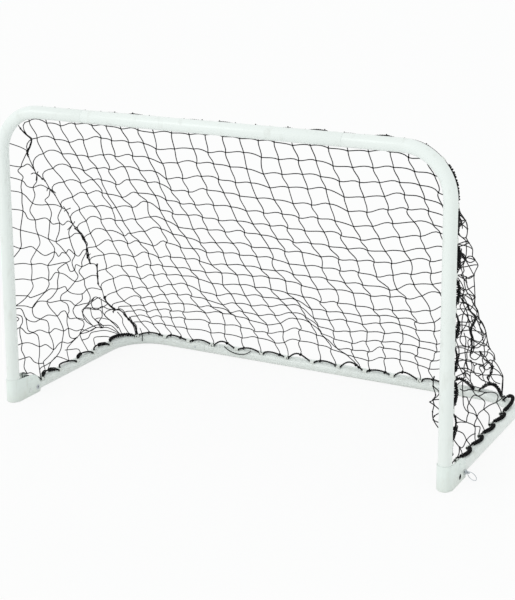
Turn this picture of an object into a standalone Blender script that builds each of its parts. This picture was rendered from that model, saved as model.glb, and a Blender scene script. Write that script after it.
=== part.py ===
"""Folding soccer goal: a bent steel arch, a ground frame that folds up behind it, boots, clips and a net.

Metres, +Z up, front of the goal towards -Y. The origin is on the ground, in the middle of the footprint.
"""

import math

import bmesh
import bpy
from mathutils import Matrix, Vector

# Frame tubes
ARCH_TUBE_R = 0.0254
ARCH_WALL = 0.0016
BASE_TUBE_R = 0.0240
BASE_WALL = 0.0016
POST_SPACING = 1.880
CROSSBAR_Z = 1.212
REAR_BAR_BACK = 0.880
BEND_RADIUS = 0.175
ARCH_JOINT_X = 0.545
REAR_JOINT_X = 0.540
GAP = 0.0003

# Necked tube joints and their spring buttons
NECK_LENGTH = 0.075
NECK_FIT = 0.0006
NECK_TAPER = 0.006
BUTTON_SET = 0.049
BUTTON_R = 0.0040
BUTTON_PROUD = 0.0025
BUTTON_FLANGE_R = 0.0062
BUTTON_FLANGE = 0.0010
BUTTON_FLANGE_DROP = 0.0017
BUTTON_DOME = 0.0014
SPRING_LENGTH = 0.045
SPRING_WIDTH = 0.008
SPRING_THICK = 0.0008
SPRING_BEND = 0.0020

# Corner boots
BOOT_WALL = 0.0030
BOOT_HEIGHT = 0.095
BOOT_SOLE = 0.0040
BOOT_EDGE = 0.0060
CHEEK_R = 0.066
CHEEK_START_DEG = 97.0
RIM_BACK = 0.012
PIVOT_BACK = 0.076
LOCK_REACH = 0.048
HOLE_GAP = 0.0003
BOOT_SCREW_Z = 0.062
SCREW_R = 0.0022
SCREW_HEAD_R = 0.0050
SCREW_HEAD = 0.0024
SCREW_LENGTH = 0.012

# Pivot rivets
RIVET_R = 0.0085
RIVET_BORE_R = 0.0069
RIVET_BORE_DEPTH = 0.040
RIVET_FLANGE_R = 0.0106
RIVET_FLANGE = 0.0009
RIVET_HEAD_R = 0.0100
RIVET_HEAD = 0.0016

# Lock pins, their rings and the bushes on the inner cheeks
PIN_R = 0.0040
PIN_NOSE_CHAMFER = 0.0010
PIN_NOSE_GAP = 0.0004
PIN_DRAWN = 0.0050
COLLAR_R = 0.0095
COLLAR = 0.0025
STUB_R = 0.0045
STUB_LENGTH = 0.0120
EYE_R = 0.0021
RING_R = 0.0190
RING_WIRE_R = 0.00125
RING_FLOOR_GAP = 0.0001
BUSH_R = 0.0070
BUSH_FLANGE_R = 0.0100
BUSH_FLANGE = 0.0010

# Rail noses and plugs
PLUG_LENGTH = 0.090
PLUG_NOSE_SET = 0.0006
NOSE_CLEAR = 0.0004

# Net clips and border rope
ARCH_CLIP_DEG = 28.0
BASE_CLIP_DEG = 45.0
ROPE_R = 0.0040
ROPE_LIFT = 0.0009
CLIP_WALL = 0.0020
CLIP_LENGTH = 0.018
CLIP_PITCH = 0.125
BAR_CLIP_REACH = 0.750
RAIL_CLIP_FIRST = 0.165
POST_CLIP_FIRST = 0.165
CLIP_BEND_SPACE = 0.020
ROPE_END = 0.024
ROPE_BEND_SET = 0.12

# Net
TWINE_R = 0.0018
SEAM_CORD_R = 0.0025
PANEL_BELLY = 0.030
NET_ROWS = 10
REAR_STRAIGHT_COLUMNS = 11
BEND_COLUMNS = 2
SIDE_STRAIGHT_COLUMNS = 2
NET_FIT = 0.0006

# Cutters run this far past what they cut
CUT_PAST = 0.010
HOLE_REACH = 0.060

# Facets
TUBE_RESOLUTION = 6
BEND_STEPS = 9
TUBE_STEPS = 16
ROUND_STEPS = 16
SMALL_STEPS = 12
SOCKET_STEPS = 32
NOSE_STEPS = 24
SCREW_HOLE_STEPS = 8
RING_STEPS = 28
RING_WIRE_STEPS = 6
BOOT_EDGE_STEPS = 3
CHEEK_STEPS = 14
CLIP_STEPS = 4

# Where the left and the right seam hang between the two bends, as (Y, Z) pairs from the top down
LEFT_SEAM = ((-0.333, 1.030), (-0.286, 0.931), (-0.204, 0.845), (-0.123, 0.756), (-0.059, 0.673),
             (-0.014, 0.619), (0.018, 0.568), (0.040, 0.490), (0.098, 0.401), (0.115, 0.345),
             (0.159, 0.264), (0.214, 0.218), (0.276, 0.190), (0.324, 0.138), (0.370, 0.095))
RIGHT_SEAM = ((-0.311, 0.994), (-0.189, 0.888), (-0.140, 0.830), (-0.075, 0.740), (-0.077, 0.660),
              (-0.075, 0.589), (-0.050, 0.530), (0.000, 0.475), (0.065, 0.424), (0.123, 0.334),
              (0.220, 0.231), (0.300, 0.155), (0.358, 0.114))

HALF_SPACING = POST_SPACING / 2
SOCKET_R = ARCH_TUBE_R + GAP
BOOT_R = SOCKET_R + BOOT_WALL
DEPTH = BOOT_R + REAR_BAR_BACK + BASE_TUBE_R
POST_Y = BOOT_R - DEPTH / 2
REAR_Y = POST_Y + REAR_BAR_BACK
RAIL_Z = BASE_TUBE_R
PIVOT_Y = POST_Y + PIVOT_BACK
NOSE_R = BASE_TUBE_R - NOSE_CLEAR
CHEEK_FACE = BOOT_R + GAP
PIN_COLLAR_X = BOOT_R + PIN_DRAWN
EYE_X = PIN_COLLAR_X + COLLAR + STUB_LENGTH / 2
CLIP_BORE = (ROPE_R + HOLE_GAP) / math.cos(math.pi / 2 / CLIP_STEPS)
CLIP_R = CLIP_BORE + CLIP_WALL
NET_SET = CLIP_R + TWINE_R + NET_FIT
SEAM_SET = CLIP_R + SEAM_CORD_R + NET_FIT
HALF_BEND = BEND_STEPS * BEND_RADIUS * math.sin(math.pi / 4 / BEND_STEPS)


def clear_scene():
    """Remove whatever the file holds."""
    for item in list(bpy.data.objects):
        bpy.data.objects.remove(item, do_unlink=True)


def new_collection(name, parent=None):
    """A collection linked into the scene."""
    group = bpy.data.collections.new(name)
    (parent or bpy.context.scene.collection).children.link(group)
    return group


clear_scene()
PARTS = new_collection("folding_soccer_goal")
CUTTERS = new_collection("cutters")


def new_material(name, colour, roughness, metallic=0.0):
    """A Principled material."""
    material = bpy.data.materials.new(name)
    material.use_nodes = True
    shader = material.node_tree.nodes["Principled BSDF"]
    shader.inputs["Base Color"].default_value = (*colour, 1.0)
    shader.inputs["Roughness"].default_value = roughness
    shader.inputs["Metallic"].default_value = metallic
    return material


def add_object(name, data, group=PARTS):
    """An object for a mesh or a curve, linked into one collection."""
    item = bpy.data.objects.new(name, data)
    group.objects.link(item)
    if group is CUTTERS:
        item.hide_render = True
        item.display_type = "WIRE"
    return item


def finish(item, colour, roughness, metallic=0.0, smooth_angle=35.0):
    """Give a piece its own material and smooth shading."""
    item.data.materials.clear()
    item.data.materials.append(new_material(item.name, colour, roughness, metallic))
    if item.type == "MESH":
        item.data.shade_smooth()
        item.data.set_sharp_from_angle(angle=math.radians(smooth_angle))
    return item


def curve_mesh(name, points, radius, resolution):
    """The closed mesh of a round bar that follows points."""
    curve = bpy.data.curves.new(name, "CURVE")
    curve.dimensions = "3D"
    curve.bevel_depth = radius
    curve.bevel_resolution = resolution
    curve.use_fill_caps = True
    spline = curve.splines.new("POLY")
    spline.points.add(len(points) - 1)
    for knot, point in zip(spline.points, points):
        knot.co = (*point, 1.0)
    return mesh_from_curve(curve)


def outline_mesh(name, outline, thickness):
    """The closed mesh of a flat outline in XY, centred on Z."""
    curve = bpy.data.curves.new(name, "CURVE")
    curve.dimensions = "2D"
    curve.fill_mode = "BOTH"
    curve.extrude = thickness / 2
    spline = curve.splines.new("POLY")
    spline.points.add(len(outline) - 1)
    for knot, (x, y) in zip(spline.points, outline):
        knot.co = (x, y, 0.0, 1.0)
    spline.use_cyclic_u = True
    return mesh_from_curve(curve)


def mesh_from_curve(curve):
    """Turn a curve into a mesh whose caps are welded on."""
    holder = bpy.data.objects.new(curve.name, curve)
    CUTTERS.objects.link(holder)
    seen = holder.evaluated_get(bpy.context.evaluated_depsgraph_get())
    mesh = bpy.data.meshes.new_from_object(seen)
    bpy.data.objects.remove(holder, do_unlink=True)
    shape = bmesh.new()
    shape.from_mesh(mesh)
    bmesh.ops.remove_doubles(shape, verts=shape.verts, dist=0.00001)
    bmesh.ops.recalc_face_normals(shape, faces=shape.faces)
    shape.to_mesh(mesh)
    shape.free()
    return mesh


def turned(name, profile, steps, group=PARTS):
    """A turned shape about local Z; profile is (radius, height), outer side from top to bottom."""
    closed = profile[0][0] > 0.0
    mesh = bpy.data.meshes.new(name)
    edges = [(i, i + 1) for i in range(len(profile) - 1)]
    if closed:
        edges.append((len(profile) - 1, 0))
    mesh.from_pydata([(radius, 0.0, height) for radius, height in profile], edges, [])
    item = add_object(name, mesh, group)
    screw = item.modifiers.new("Turn", "SCREW")
    screw.steps = steps
    screw.render_steps = steps
    screw.use_merge_vertices = True
    screw.merge_threshold = 0.00001
    return item


def point_along(item, direction, location):
    """Turn local Z to a direction and place the object."""
    turn = Vector((0, 0, 1)).rotation_difference(Vector(direction))
    item.matrix_world = Matrix.Translation(location) @ turn.to_matrix().to_4x4()
    return item


def cylinder(name, radius, start, end, steps=SMALL_STEPS, group=CUTTERS):
    """A plain cylinder between two points."""
    start = Vector(start)
    end = Vector(end)
    shape = bmesh.new()
    bmesh.ops.create_cone(shape, cap_ends=True, segments=steps, radius1=radius, radius2=radius,
                          depth=(end - start).length)
    mesh = bpy.data.meshes.new(name)
    shape.to_mesh(mesh)
    shape.free()
    return point_along(add_object(name, mesh, group), end - start, (start + end) / 2)


def box(name, low, high, group=CUTTERS):
    """A block between two corners."""
    low = Vector(low)
    high = Vector(high)
    shape = bmesh.new()
    bmesh.ops.create_cube(shape, size=1.0)
    bmesh.ops.scale(shape, vec=high - low, verts=shape.verts)
    bmesh.ops.translate(shape, vec=(low + high) / 2, verts=shape.verts)
    mesh = bpy.data.meshes.new(name)
    shape.to_mesh(mesh)
    shape.free()
    return add_object(name, mesh, group)


def combine(item, tool, operation="DIFFERENCE"):
    """Add a Boolean that cuts, joins or keeps."""
    modifier = item.modifiers.new(operation.title(), "BOOLEAN")
    modifier.object = tool
    modifier.operation = operation
    modifier.solver = "EXACT"
    return item


def arc_points(centre, radius, start_deg, end_deg, steps):
    """Points of an arc in a plane."""
    angles = [math.radians(start_deg + (end_deg - start_deg) * i / steps) for i in range(steps + 1)]
    return [(centre[0] + radius * math.cos(a), centre[1] + radius * math.sin(a)) for a in angles]


def bent_path(start, corner, end):
    """Points of a tube with one bend: straight, quarter turn, straight."""
    start, corner, end = Vector(start), Vector(corner), Vector(end)
    into = (corner - start).normalized()
    out = (end - corner).normalized()
    centre = corner + (out - into) * BEND_RADIUS
    path = [start]
    for step in range(BEND_STEPS + 1):
        angle = math.pi / 2 * step / BEND_STEPS
        path.append(centre - out * BEND_RADIUS * math.cos(angle) + into * BEND_RADIUS * math.sin(angle))
    path.append(end)
    return path


def hollow_tube(name, path, radius, wall):
    """A steel tube along a path, open at both ends."""
    tube = add_object(name, curve_mesh(name, path, radius, TUBE_RESOLUTION))
    longer = list(path)
    longer[0] = path[0] + (path[0] - path[1]).normalized() * CUT_PAST
    longer[-1] = path[-1] + (path[-1] - path[-2]).normalized() * CUT_PAST
    bore_mesh = curve_mesh(name + "_bore", longer, radius - wall, TUBE_RESOLUTION)
    return combine(tube, add_object(name + "_bore", bore_mesh, CUTTERS))


BACK = Vector((0, 1, 0))
UP = Vector((0, 0, 1))
HANG = Vector((0, -0.8, -0.6))
WHITE_COAT = (0.86, 0.88, 0.87)
BOOT_WHITE = (0.84, 0.86, 0.83)
CLIP_WHITE = (0.82, 0.84, 0.82)
ZINC = (0.62, 0.66, 0.68)
BLACK_CORD = (0.012, 0.012, 0.013)
PLUG_GREY = (0.55, 0.56, 0.55)


def neck_radius(tube_radius, wall):
    """Outer radius of a necked end that slides into a tube."""
    return tube_radius - wall - NECK_FIT


def button_hole(name, x, axis_y, axis_z, facing):
    """Cutter for a spring button's hole, from the tube's axis outwards."""
    return cylinder(name, BUTTON_R + HOLE_GAP, (x, axis_y, axis_z),
                    (x, axis_y + facing * HOLE_REACH, axis_z), SMALL_STEPS)


def screw_hole(name, x):
    """Cutter for a boot's screw, from the post's axis backwards."""
    return cylinder(name, SCREW_R + HOLE_GAP, (x, POST_Y, BOOT_SCREW_Z),
                    (x, POST_Y + HOLE_REACH, BOOT_SCREW_Z), SCREW_HOLE_STEPS)


def make_post(side, name):
    """A post with its bent top corner and the stub that takes the crossbar's neck; its clips are fused on."""
    x = side * HALF_SPACING
    path = bent_path((x, POST_Y, BOOT_SOLE + GAP), (x, POST_Y, CROSSBAR_Z),
                     (side * ARCH_JOINT_X, POST_Y, CROSSBAR_Z))
    post = hollow_tube(name, path, ARCH_TUBE_R, ARCH_WALL)
    button_x = side * (ARCH_JOINT_X + BUTTON_SET)
    combine(post, button_hole(name + "_button_hole", button_x, POST_Y, CROSSBAR_Z, 1))
    combine(post, screw_hole(name + "_screw_hole", x))
    marks = post_clip_marks() + [ARCH_CORNER] + bar_clip_marks(ARCH_LINE, ARCH_JOINT_X, BAR_CLIP_REACH, -1)
    if side > 0:
        marks = [ARCH_LINE.length - mark for mark in marks]
    combine(post, fused_clips(name + "_clips", ARCH_LINE, marks), "UNION")
    return finish(post, WHITE_COAT, 0.32)


def make_rail(side, name):
    """A ground rail with its bent rear corner; the front end is rounded about the pivot."""
    x = side * HALF_SPACING
    path = bent_path((x, PIVOT_Y - NOSE_R - CUT_PAST, RAIL_Z), (x, REAR_Y, RAIL_Z),
                     (side * REAR_JOINT_X, REAR_Y, RAIL_Z))
    rail = hollow_tube(name, path, BASE_TUBE_R, BASE_WALL)
    button_x = side * (REAR_JOINT_X + BUTTON_SET)
    combine(rail, nose_cutter(name, x, NOSE_R))
    combine(rail, cross_hole(name + "_pivot_hole", x, PIVOT_Y, RIVET_R + HOLE_GAP, ROUND_STEPS))
    combine(rail, cross_hole(name + "_lock_hole", x, PIVOT_Y + LOCK_REACH, PIN_R + HOLE_GAP, SMALL_STEPS))
    combine(rail, button_hole(name + "_button_hole", button_x, REAR_Y, RAIL_Z, -1))
    return finish(rail, WHITE_COAT, 0.32)


def cross_hole(name, x, y, radius, steps, z=RAIL_Z):
    """Cutter along X through a boot or a rail."""
    return cylinder(name, radius, (x - HOLE_REACH, y, z), (x + HOLE_REACH, y, z), steps)


def nose_cutter(name, x, radius):
    """What lies ahead of a half round nose about the pivot axis."""
    reach = BASE_TUBE_R + CUT_PAST
    block = box(name + "_nose_block", (x - reach, PIVOT_Y - 2 * reach, RAIL_Z - reach),
                (x + reach, PIVOT_Y, RAIL_Z + reach))
    return combine(block, cross_hole(name + "_nose_keep", x, PIVOT_Y, radius, NOSE_STEPS))


def make_bar(name, joint_x, y, z, radius, wall, facing, line=None):
    """A straight bar with necked ends; the joint lines are where it meets the bent pieces."""
    neck = neck_radius(radius, wall)
    shoulder = joint_x - GAP
    end = joint_x + NECK_LENGTH
    outer = [(neck, end), (neck, shoulder), (radius, shoulder),
             (radius, -shoulder), (neck, -shoulder), (neck, -end)]
    tip = neck - wall
    inner = [(tip, -end), (tip, -shoulder + NECK_TAPER), (radius - wall, -shoulder + 2 * NECK_TAPER),
             (radius - wall, shoulder - 2 * NECK_TAPER), (tip, shoulder - NECK_TAPER), (tip, end)]
    bar = point_along(turned(name, outer + inner, TUBE_STEPS), (1, 0, 0), (0, y, z))
    for side, word in ((-1, "left"), (1, "right")):
        combine(bar, button_hole(f"{name}_{word}_hole", side * (joint_x + BUTTON_SET), y, z, facing))
    if line is not None:
        marks = bar_clip_marks(line, 0.0, joint_x, 0)
        combine(bar, fused_clips(name + "_clips", line, marks), "UNION")
    return finish(bar, WHITE_COAT, 0.32)


def make_button(name, x, y, z, radius, wall, facing):
    """A spring button: a domed stud with a flange that stops inside the neck."""
    inside = neck_radius(radius, wall) - wall
    top = radius + BUTTON_PROUD
    flange = inside - BUTTON_FLANGE_DROP
    profile = [(0.0, top), (0.5 * BUTTON_R, top - 0.15 * BUTTON_DOME),
               (0.85 * BUTTON_R, top - 0.5 * BUTTON_DOME), (BUTTON_R, top - BUTTON_DOME),
               (BUTTON_R, flange), (BUTTON_FLANGE_R, flange),
               (BUTTON_FLANGE_R, flange - BUTTON_FLANGE), (0.0, flange - BUTTON_FLANGE)]
    button = point_along(turned(name, profile, SMALL_STEPS), (0, facing, 0), (x, y, z))
    return finish(button, ZINC, 0.35, 0.9)


def make_button_spring(name, side, x, y, z, radius, wall, facing):
    """The folded leaf spring under a button; its bend points to the middle of the bar."""
    inside = neck_radius(radius, wall) - wall
    top = inside - BUTTON_FLANGE_DROP - BUTTON_FLANGE - GAP
    flat = inside * math.cos(math.pi / TUBE_STEPS)
    low = -math.sqrt(flat ** 2 - (SPRING_WIDTH / 2) ** 2) + GAP
    tail = -BUTTON_FLANGE_R
    middle = (top + low) / 2
    bend = SPRING_LENGTH - SPRING_BEND
    outline = [(tail, top), (BUTTON_FLANGE_R, top), (bend, middle + SPRING_BEND), (SPRING_LENGTH, middle),
               (bend, middle - SPRING_BEND), (BUTTON_FLANGE_R, low), (tail, low), (tail, low + SPRING_THICK),
               (BUTTON_FLANGE_R, low + SPRING_THICK), (bend - SPRING_THICK, middle),
               (BUTTON_FLANGE_R, top - SPRING_THICK), (tail, top - SPRING_THICK)]
    spring = add_object(name, outline_mesh(name, outline, SPRING_WIDTH))
    turn = Matrix.Diagonal((-side, facing, -side * facing, 1))
    spring.matrix_world = Matrix.Translation((x, y, z)) @ turn
    return finish(spring, ZINC, 0.4, 0.9)


def boot_side_outline():
    """A boot seen from the side, in (back, up): a level rim and a cheek rounded about the pivot."""
    low = -math.degrees(math.asin(RAIL_Z / CHEEK_R))
    arc = arc_points((PIVOT_BACK, RAIL_Z), CHEEK_R, CHEEK_START_DEG, low, CHEEK_STEPS)
    front = -BOOT_R - CUT_PAST
    return [(front, -GAP), (front, BOOT_HEIGHT), (RIM_BACK, BOOT_HEIGHT)] + arc[:-1] + [(arc[-1][0], -GAP)]


def boot_body(name):
    """A boot's plan, drawn up: half round in front, straight sides, its bottom front edge rounded."""
    back = PIVOT_BACK + CHEEK_R + CUT_PAST
    height = BOOT_HEIGHT + CUT_PAST
    plan = arc_points((0.0, 0.0), BOOT_R, 180.0, 360.0, SOCKET_STEPS // 2) + [(BOOT_R, back), (-BOOT_R, back)]
    mesh = outline_mesh(name, plan, height)
    shape = bmesh.new()
    shape.from_mesh(mesh)
    bmesh.ops.translate(shape, vec=(0, 0, height / 2), verts=shape.verts)
    bmesh.ops.dissolve_limit(shape, angle_limit=0.01, verts=shape.verts, edges=shape.edges)
    front = [edge for edge in shape.edges if max(abs(v.co.z) for v in edge.verts) < GAP
             and max(v.co.y for v in edge.verts) < GAP]
    bmesh.ops.bevel(shape, geom=front, offset=BOOT_EDGE, offset_type="OFFSET", segments=BOOT_EDGE_STEPS,
                    profile=0.5, affect="EDGES", material=-1)
    shape.to_mesh(mesh)
    shape.free()
    return mesh


def make_boot(side, name):
    """A moulded boot: a socket round the post's foot and two cheeks that hold the rail."""
    x = side * HALF_SPACING
    above = BOOT_HEIGHT + CUT_PAST
    behind = POST_Y + PIVOT_BACK + CHEEK_R + CUT_PAST
    lock_y = PIVOT_Y + LOCK_REACH
    boot = add_object(name, boot_body(name))
    boot.location = (x, POST_Y, 0.0)
    keep = add_object(name + "_side", outline_mesh(name + "_side", boot_side_outline(), 4 * BOOT_R), CUTTERS)
    keep.matrix_world = Matrix(((0, 0, 1, x), (1, 0, 0, POST_Y), (0, 1, 0, 0), (0, 0, 0, 1)))
    combine(boot, keep, "INTERSECT")
    combine(boot, cylinder(name + "_socket", SOCKET_R, (x, POST_Y, BOOT_SOLE),
                           (x, POST_Y, above), SOCKET_STEPS))
    slot = box(name + "_slot", (x - SOCKET_R, POST_Y, -CUT_PAST), (x + SOCKET_R, behind, above))
    combine(slot, cylinder(name + "_slot_keep", BOOT_R, (x, POST_Y, -2 * CUT_PAST),
                           (x, POST_Y, above + CUT_PAST), SOCKET_STEPS))
    combine(boot, slot)
    combine(boot, cross_hole(name + "_pivot_hole", x, PIVOT_Y, RIVET_R + HOLE_GAP, ROUND_STEPS))
    combine(boot, cross_hole(name + "_folded_hole", x, PIVOT_Y, PIN_R + HOLE_GAP, SMALL_STEPS,
                             RAIL_Z + LOCK_REACH))
    combine(boot, cylinder(name + "_lock_hole", PIN_R + HOLE_GAP, (x, lock_y, RAIL_Z),
                           (x + side * HOLE_REACH, lock_y, RAIL_Z)))
    combine(boot, cylinder(name + "_bush_hole", BUSH_R + HOLE_GAP, (x, lock_y, RAIL_Z),
                           (x - side * HOLE_REACH, lock_y, RAIL_Z), ROUND_STEPS))
    combine(boot, screw_hole(name + "_screw_hole", x))
    even = boot.modifiers.new("Even shading", "WEIGHTED_NORMAL")
    even.keep_sharp = True
    return finish(boot, BOOT_WHITE, 0.42)


def make_rivet(side, name):
    """The tubular pivot rivet: a flat head on the inner cheek, an open bore on the outer one."""
    top = CHEEK_FACE + RIVET_FLANGE
    profile = [(0.0, top - RIVET_BORE_DEPTH), (RIVET_BORE_R, top - RIVET_BORE_DEPTH), (RIVET_BORE_R, top),
               (RIVET_FLANGE_R, top), (RIVET_FLANGE_R, CHEEK_FACE), (RIVET_R, CHEEK_FACE),
               (RIVET_R, -CHEEK_FACE), (RIVET_HEAD_R, -CHEEK_FACE),
               (RIVET_HEAD_R, -CHEEK_FACE - 0.5 * RIVET_HEAD),
               (0.8 * RIVET_HEAD_R, -CHEEK_FACE - RIVET_HEAD), (0.0, -CHEEK_FACE - RIVET_HEAD)]
    rivet = turned(name, profile, ROUND_STEPS)
    point_along(rivet, (side, 0, 0), (side * HALF_SPACING, PIVOT_Y, RAIL_Z))
    return finish(rivet, BOOT_WHITE, 0.4)


def make_bush(side, name):
    """The metal bush in the inner cheek, where a lock pin's nose can come through."""
    bore = PIN_R + HOLE_GAP
    top = CHEEK_FACE + BUSH_FLANGE
    profile = [(bore, top), (0.85 * BUSH_FLANGE_R, top), (BUSH_FLANGE_R, top - 0.4 * BUSH_FLANGE),
               (BUSH_FLANGE_R, CHEEK_FACE), (BUSH_R, CHEEK_FACE), (BUSH_R, SOCKET_R), (bore, SOCKET_R)]
    bush = turned(name, profile, ROUND_STEPS)
    point_along(bush, (-side, 0, 0), (side * HALF_SPACING, PIVOT_Y + LOCK_REACH, RAIL_Z))
    return finish(bush, ZINC, 0.35, 0.9)


def make_lock_pin(side, name):
    """A ring pin through the outer cheek, drawn back so that its nose is just clear of the rail."""
    nose = BASE_TUBE_R + PIN_NOSE_GAP
    top = PIN_COLLAR_X + COLLAR + STUB_LENGTH
    profile = [(0.0, top), (0.7 * STUB_R, top), (STUB_R, top - 0.3 * STUB_R), (STUB_R, PIN_COLLAR_X + COLLAR),
               (0.85 * COLLAR_R, PIN_COLLAR_X + COLLAR), (COLLAR_R, PIN_COLLAR_X + 0.6 * COLLAR),
               (COLLAR_R, PIN_COLLAR_X), (PIN_R, PIN_COLLAR_X), (PIN_R, nose + PIN_NOSE_CHAMFER),
               (PIN_R - PIN_NOSE_CHAMFER, nose), (0.0, nose)]
    pin = turned(name, profile, SMALL_STEPS)
    lock_y = PIVOT_Y + LOCK_REACH
    point_along(pin, (side, 0, 0), (side * HALF_SPACING, lock_y, RAIL_Z))
    eye = side * (HALF_SPACING + EYE_X)
    combine(pin, cylinder(name + "_eye", EYE_R, (eye, lock_y - CUT_PAST, RAIL_Z),
                          (eye, lock_y + CUT_PAST, RAIL_Z)))
    return finish(pin, ZINC, 0.35, 0.9)


def ring_drop():
    """How far a ring leans down from level: until its far side is just above the ground."""
    return math.asin((RAIL_Z - RING_WIRE_R - RING_FLOOR_GAP) / (2 * RING_R))


def make_ring(side, name):
    """The wire ring through a lock pin's eye, leaning on the ground."""
    bpy.ops.mesh.primitive_torus_add(major_radius=RING_R, minor_radius=RING_WIRE_R, major_segments=RING_STEPS,
                                     minor_segments=RING_WIRE_STEPS)
    ring = bpy.context.active_object
    ring.name = name
    ring.data.name = name
    for group in list(ring.users_collection):
        group.objects.unlink(ring)
    PARTS.objects.link(ring)
    ring.data.transform(Matrix.Translation((side * RING_R, 0, 0)))
    ring.location = (side * (HALF_SPACING + EYE_X), PIVOT_Y + LOCK_REACH, RAIL_Z)
    ring.rotation_euler = (0.0, side * ring_drop(), 0.0)
    return finish(ring, ZINC, 0.3, 0.9)


def make_plug(side, name):
    """The plastic plug in a rail's front end, with the rivet's and the pin's bores."""
    x = side * HALF_SPACING
    radius = BASE_TUBE_R - BASE_WALL - GAP
    plug = cylinder(name, radius, (x, PIVOT_Y - NOSE_R - CUT_PAST, RAIL_Z),
                    (x, PIVOT_Y - NOSE_R + PLUG_LENGTH, RAIL_Z), ROUND_STEPS, PARTS)
    combine(plug, nose_cutter(name, x, NOSE_R - PLUG_NOSE_SET))
    combine(plug, cross_hole(name + "_pivot_bore", x, PIVOT_Y, RIVET_R + HOLE_GAP, ROUND_STEPS))
    combine(plug, cross_hole(name + "_lock_bore", x, PIVOT_Y + LOCK_REACH, PIN_R + HOLE_GAP, SMALL_STEPS))
    return finish(plug, PLUG_GREY, 0.5)


def make_boot_screw(side, name):
    """A pan head screw through the back of a boot's socket into its post."""
    face = BOOT_R + GAP
    profile = [(0.0, face + SCREW_HEAD), (0.6 * SCREW_HEAD_R, face + 0.9 * SCREW_HEAD),
               (SCREW_HEAD_R, face + 0.4 * SCREW_HEAD), (SCREW_HEAD_R, face), (SCREW_R, face),
               (SCREW_R, face - SCREW_LENGTH + SCREW_R), (0.0, face - SCREW_LENGTH)]
    screw = turned(name, profile, SMALL_STEPS)
    point_along(screw, (0, 1, 0), (side * HALF_SPACING, POST_Y, BOOT_SCREW_Z))
    return finish(screw, ZINC, 0.4, 0.9)


class Member:
    """The line of a frame tube with the side that its clips and rope sit on."""

    def __init__(self, points, plane_normal, tube_radius, clip_deg):
        self.points = [Vector(point) for point in points]
        self.normal = Vector(plane_normal)
        self.tube_radius = tube_radius
        self.clip_turn = math.radians(clip_deg)
        self.marks = [0.0]
        for first, second in zip(self.points, self.points[1:]):
            self.marks.append(self.marks[-1] + (second - first).length)

    @property
    def length(self):
        """Length of the tube's line."""
        return self.marks[-1]

    def at(self, distance):
        """Point and direction at a distance along the line."""
        distance = min(max(distance, 0.0), self.length)
        for index in range(len(self.points) - 1):
            if distance <= self.marks[index + 1] + 1e-9:
                break
        first, second = self.points[index], self.points[index + 1]
        share = (distance - self.marks[index]) / (self.marks[index + 1] - self.marks[index])
        return first.lerp(second, share), (second - first).normalized()

    def outward(self, distance):
        """Unit vector from the tube's line to its clips, turned off the plane's normal by their angle."""
        _, along = self.at(distance)
        outer = along.cross(self.normal).normalized()
        return outer * math.sin(self.clip_turn) + self.normal * math.cos(self.clip_turn)

    def rope_point(self, distance):
        """Centre of the border rope beside the line."""
        point, _ = self.at(distance)
        return point + self.outward(distance) * (self.tube_radius + ROPE_LIFT + ROPE_R)

    def clip_place(self, distance):
        """Matrix that puts a clip on the tube: local X across it, Y away from it, Z along it."""
        point, along = self.at(distance)
        away = self.outward(distance)
        across = away.cross(along)
        rows = [(across[i], away[i], along[i], point[i]) for i in range(3)]
        return Matrix((*rows, (0, 0, 0, 1)))


def frame_line(end, corner):
    """The whole centre line of a frame, left end to right end, from its right end and its right corner."""
    mirror = Matrix.Diagonal((-1, 1, 1))
    middle = Vector((0.0, corner[1], corner[2]))
    right = bent_path(middle, corner, end)
    left = [mirror @ point for point in reversed(right)]
    return left[:-1] + right


ARCH_POINTS = frame_line((HALF_SPACING, POST_Y, 0.0), (HALF_SPACING, POST_Y, CROSSBAR_Z))
BASE_POINTS = frame_line((HALF_SPACING, POST_Y, RAIL_Z), (HALF_SPACING, REAR_Y, RAIL_Z))
ARCH_LINE = Member(ARCH_POINTS, BACK, ARCH_TUBE_R, ARCH_CLIP_DEG)
BASE_LINE = Member(BASE_POINTS, UP, BASE_TUBE_R, BASE_CLIP_DEG)
ARCH_CORNER = CROSSBAR_Z - BEND_RADIUS + HALF_BEND
BASE_CORNER = REAR_BAR_BACK - BEND_RADIUS + HALF_BEND


def clip_mesh(tube_radius, seat):
    """One clip: a saddle over the rope; a seat below 0 sinks its feet into the tube."""
    centre = tube_radius + ROPE_LIFT + ROPE_R

    def foot(x):
        return math.sqrt((tube_radius + seat) ** 2 - x ** 2)

    outline = [(CLIP_R, foot(CLIP_R))] + arc_points((0.0, centre), CLIP_R, 0.0, 180.0, CLIP_STEPS)
    outline += [(-CLIP_R, foot(CLIP_R)), (-CLIP_BORE, foot(CLIP_BORE))]
    outline += arc_points((0.0, centre), CLIP_BORE, 180.0, 0.0, CLIP_STEPS) + [(CLIP_BORE, foot(CLIP_BORE))]
    return outline_mesh("net_clip", outline, CLIP_LENGTH)


def post_clip_marks():
    """Even distances up the straight part of the left post."""
    last = CROSSBAR_Z - BEND_RADIUS - CLIP_BEND_SPACE
    count = round((last - POST_CLIP_FIRST) / CLIP_PITCH)
    return [POST_CLIP_FIRST + (last - POST_CLIP_FIRST) * i / count for i in range(count + 1)]


def rail_clip_marks():
    """Distances back along the left rail."""
    last = REAR_BAR_BACK - BEND_RADIUS - CLIP_BEND_SPACE
    return [RAIL_CLIP_FIRST + CLIP_PITCH * i for i in range(int((last - RAIL_CLIP_FIRST) / CLIP_PITCH) + 1)]


def bar_clip_marks(line, low, high, side):
    """Distances along a line of the bar clips, low to high off the middle; side is -1, 1, or 0 for both."""
    count = round(BAR_CLIP_REACH / CLIP_PITCH)
    places = [CLIP_PITCH * i for i in range(-count, count + 1)]
    chosen = [x for x in places if low <= abs(x) <= high and x * side >= 0]
    return [line.length / 2 + x for x in chosen]


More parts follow.
